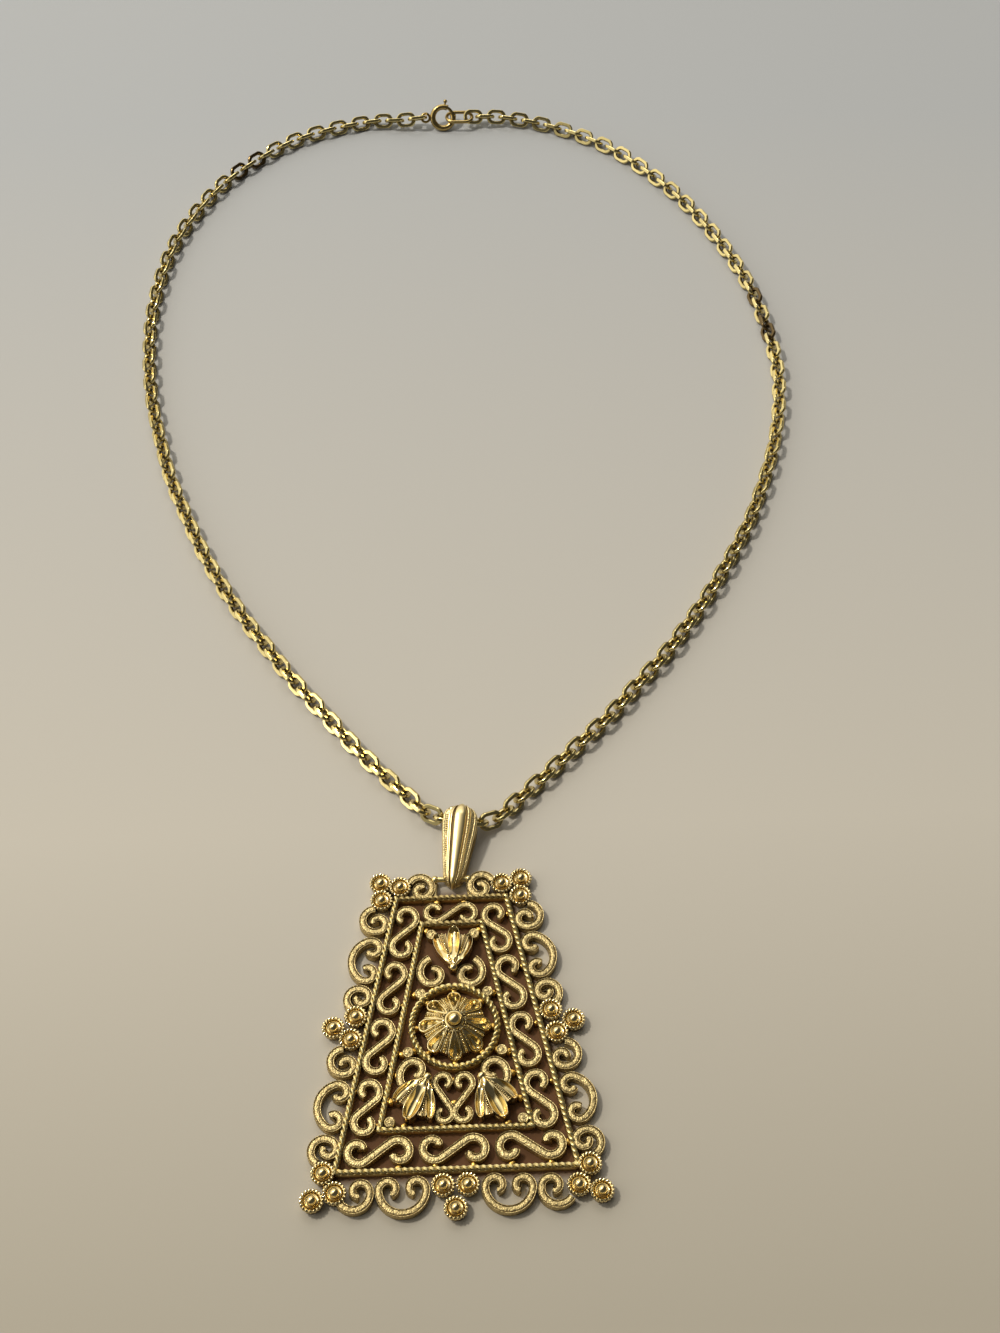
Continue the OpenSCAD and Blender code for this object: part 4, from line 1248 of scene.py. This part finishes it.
class MakeBail(bpy.types.Operator):
    """Makes the ribbed fold-over bail with its polished middle rib and beaded line"""

    bl_idname = "necklace.make_bail"
    bl_label = "Make bail"

    def execute(self, context):
        casting = Casting()
        bail_shell(casting)
        satin = polished_gold(context.scene.necklace_colours, "satin_brass_bail", 0.3)
        casting.build("bail_shell", "bail", satin)
        return {"FINISHED"}


class MakeChain(bpy.types.Operator):
    """Makes both runs of the cut cable chain, link by link"""

    bl_idname = "necklace.make_chain"
    bl_label = "Make chain"

    def execute(self, context):
        sizes, colours = context.scene.necklace_sizes, context.scene.necklace_colours
        shape, faces, relief = link_shape(
            sizes.link_length / MM, sizes.link_width / MM, sizes.link_wire / MM, sizes.link_cut / MM
        )
        shade = np.random.default_rng(3)
        runs = {"chain_left": Casting(), "chain_right": Casting()}
        for i, middle, turn in link_places():
            dark = min(np.hypot(*(middle[:2] - q)) for q in np.array(TARNISHED)) < TARNISH_REACH
            tone = TARNISH_TONE if dark else shade.uniform(0, CHAIN_TONE)
            run = runs["chain_left" if i < 0 else "chain_right"]
            run.add(shape @ turn.T + middle, [faces], relief, tone)
        brass = chain_metal(colours)
        for node, casting in runs.items():
            casting.build(node + "_links", node, brass, sharp=22)
        return {"FINISHED"}


class DressClasp(bpy.types.Operator):
    """Gives the clasp's ring, its bolt and the jump ring their darker metal"""

    bl_idname = "necklace.dress_clasp"
    bl_label = "Dress clasp"

    def execute(self, context):
        worn = worn_brass(context.scene.necklace_colours)
        for node in ("clasp_ring", "clasp_bolt", "jump_ring"):
            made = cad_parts[node]
            made.data.materials.clear()
            made.data.materials.append(worn)
        return {"FINISHED"}


# Stage

# The camera's place in mm, and its right, up and forward directions
CAMERA_AT = (4.35607, -121.86144, 289.806)
CAMERA_RIGHT = (0.99944103, -0.03336105, -0.00216212)
CAMERA_UP = (0.02878627, 0.82589456, 0.56308928)
CAMERA_FORWARD = (0.01699957, 0.56283676, -0.82639324)
PHOTO_HEIGHT = 1333
FOCAL_PIXELS = 1786
SENSOR = 36.0
# The floor's half size in metres and its points to a side
FLOOR_HALF, FLOOR_POINTS = 1.6, 33
# What the lights face, in metres
AIM = (0.0, 0.08, 0.0)
# The way to the brightest part of the room, where its light begins and is full, and how strong
# it is, away from it and towards it
BRIGHT_SIDE, GLOW_FROM, GLOW_FULL = (-0.70, 0.62, 0.35), 0.2, 0.68
GLOW_DIM, GLOW_BRIGHT, ROOM_COLOUR = 0.08, 1.5, "EEECE6"


def soft_light(name, at, width, height, power, colour):
    """A soft round or oval studio light. Its place and size are in metres."""
    data = bpy.data.lights.new(name, "AREA")
    data.shape = "ELLIPSE"
    data.size, data.size_y = width, height
    data.energy = power
    data.color = linear(colour)
    made = bpy.data.objects.new(name, data)
    made.location = at
    made.rotation_mode = "QUATERNION"
    made.rotation_quaternion = (Vector(AIM) - Vector(at)).to_track_quat("-Z", "Y")
    bpy.context.scene.collection.objects.link(made)


class SetStage(bpy.types.Operator):
    """Sets the camera, the pale floor, the studio lights and the room's dim glow"""

    bl_idname = "necklace.set_stage"
    bl_label = "Set stage"

    def execute(self, context):
        scene = context.scene
        data = bpy.data.cameras.new("camera")
        data.sensor_width = SENSOR
        data.lens = FOCAL_PIXELS * SENSOR / PHOTO_HEIGHT
        data.clip_start, data.clip_end = 0.01, 20
        camera = bpy.data.objects.new("camera", data)
        columns = (CAMERA_RIGHT, CAMERA_UP, [-c for c in CAMERA_FORWARD], [c * MM for c in CAMERA_AT])
        camera.matrix_world = Matrix([*zip(*columns), (0, 0, 0, 1)])
        scene.collection.objects.link(camera)
        scene.camera = camera

        steps = np.linspace(-FLOOR_HALF, FLOOR_HALF, FLOOR_POINTS)
        points = [(x, y, 0) for x in steps for y in steps]
        mesh = bpy.data.meshes.new("floor")
        mesh.from_pydata(points, [], grid_faces(FLOOR_POINTS, FLOOR_POINTS)[:, ::-1].tolist())
        mesh.materials.append(floor_material(scene.necklace_colours))
        floor = bpy.data.objects.new("floor", mesh)
        scene.collection.objects.link(floor)

        soft_light("key_light", (-0.594, 0.296, 1.08), 0.13, 0.13, 7.8, "FFFAF1")
        soft_light("window_light", (0.05, 0.86, 1.15), 0.7, 0.35, 1.6, "FBFBFF")
        soft_light("side_light", (-0.95, -0.1, 0.35), 0.2, 0.6, 0.5, "FFFAF0")
        scene.view_settings.view_transform = "Standard"

        world = scene.world or bpy.data.worlds.new("room")
        scene.world = world
        world.use_nodes = True
        tree = world.node_tree
        tree.nodes.clear()
        # The room is bright towards the window side, dim towards the other
        way = add_node(tree, "TexCoord", out="Generated")
        facing = add_node(tree, "VectorMath", {0: way, 1: BRIGHT_SIDE}, "Value", operation="DOT_PRODUCT")
        ends = {"From Min": GLOW_FROM, "From Max": GLOW_FULL, "To Min": GLOW_DIM, "To Max": GLOW_BRIGHT}
        glow = add_node(tree, "MapRange", {"Value": facing, **ends}, interpolation_type="SMOOTHSTEP")
        back = add_node(tree, "Background", {"Color": (*linear(ROOM_COLOUR), 1), "Strength": glow})
        add_node(tree, "OutputWorld", {"Surface": back})
        return {"FINISHED"}


STEPS = [
    SetStage, MakeScrolls, MakeRopes, MakeRosettes, MakeMedallion, MakePalmettes, MakeJoints,
    MakeBail, MakeChain, DressClasp,
]


class NecklacePanel(bpy.types.Panel):
    """Lists the necklace's sizes, colours and steps"""

    bl_idname = "VIEW3D_PT_necklace"
    bl_label = "Drop necklace"
    bl_space_type = "VIEW_3D"
    bl_region_type = "UI"
    bl_category = "Necklace"

    def draw(self, context):
        for group in (context.scene.necklace_sizes, context.scene.necklace_colours):
            box = self.layout.box()
            for key in type(group).__annotations__:
                box.prop(group, key)
        for step in STEPS:
            self.layout.operator(step.bl_idname)


CLASSES = [NecklaceSizes, NecklaceColours, *STEPS, NecklacePanel]


def register():
    for c in CLASSES:
        bpy.utils.register_class(c)
    bpy.types.Scene.necklace_sizes = bpy.props.PointerProperty(type=NecklaceSizes)
    bpy.types.Scene.necklace_colours = bpy.props.PointerProperty(type=NecklaceColours)


def unregister():
    del bpy.types.Scene.necklace_colours
    del bpy.types.Scene.necklace_sizes
    for c in reversed(CLASSES):
        bpy.utils.unregister_class(c)


def main():
    register()
    for step in STEPS:
        group, call = step.bl_idname.split(".")
        getattr(getattr(bpy.ops, group), call)()


if __name__ == "__main__":
    main()
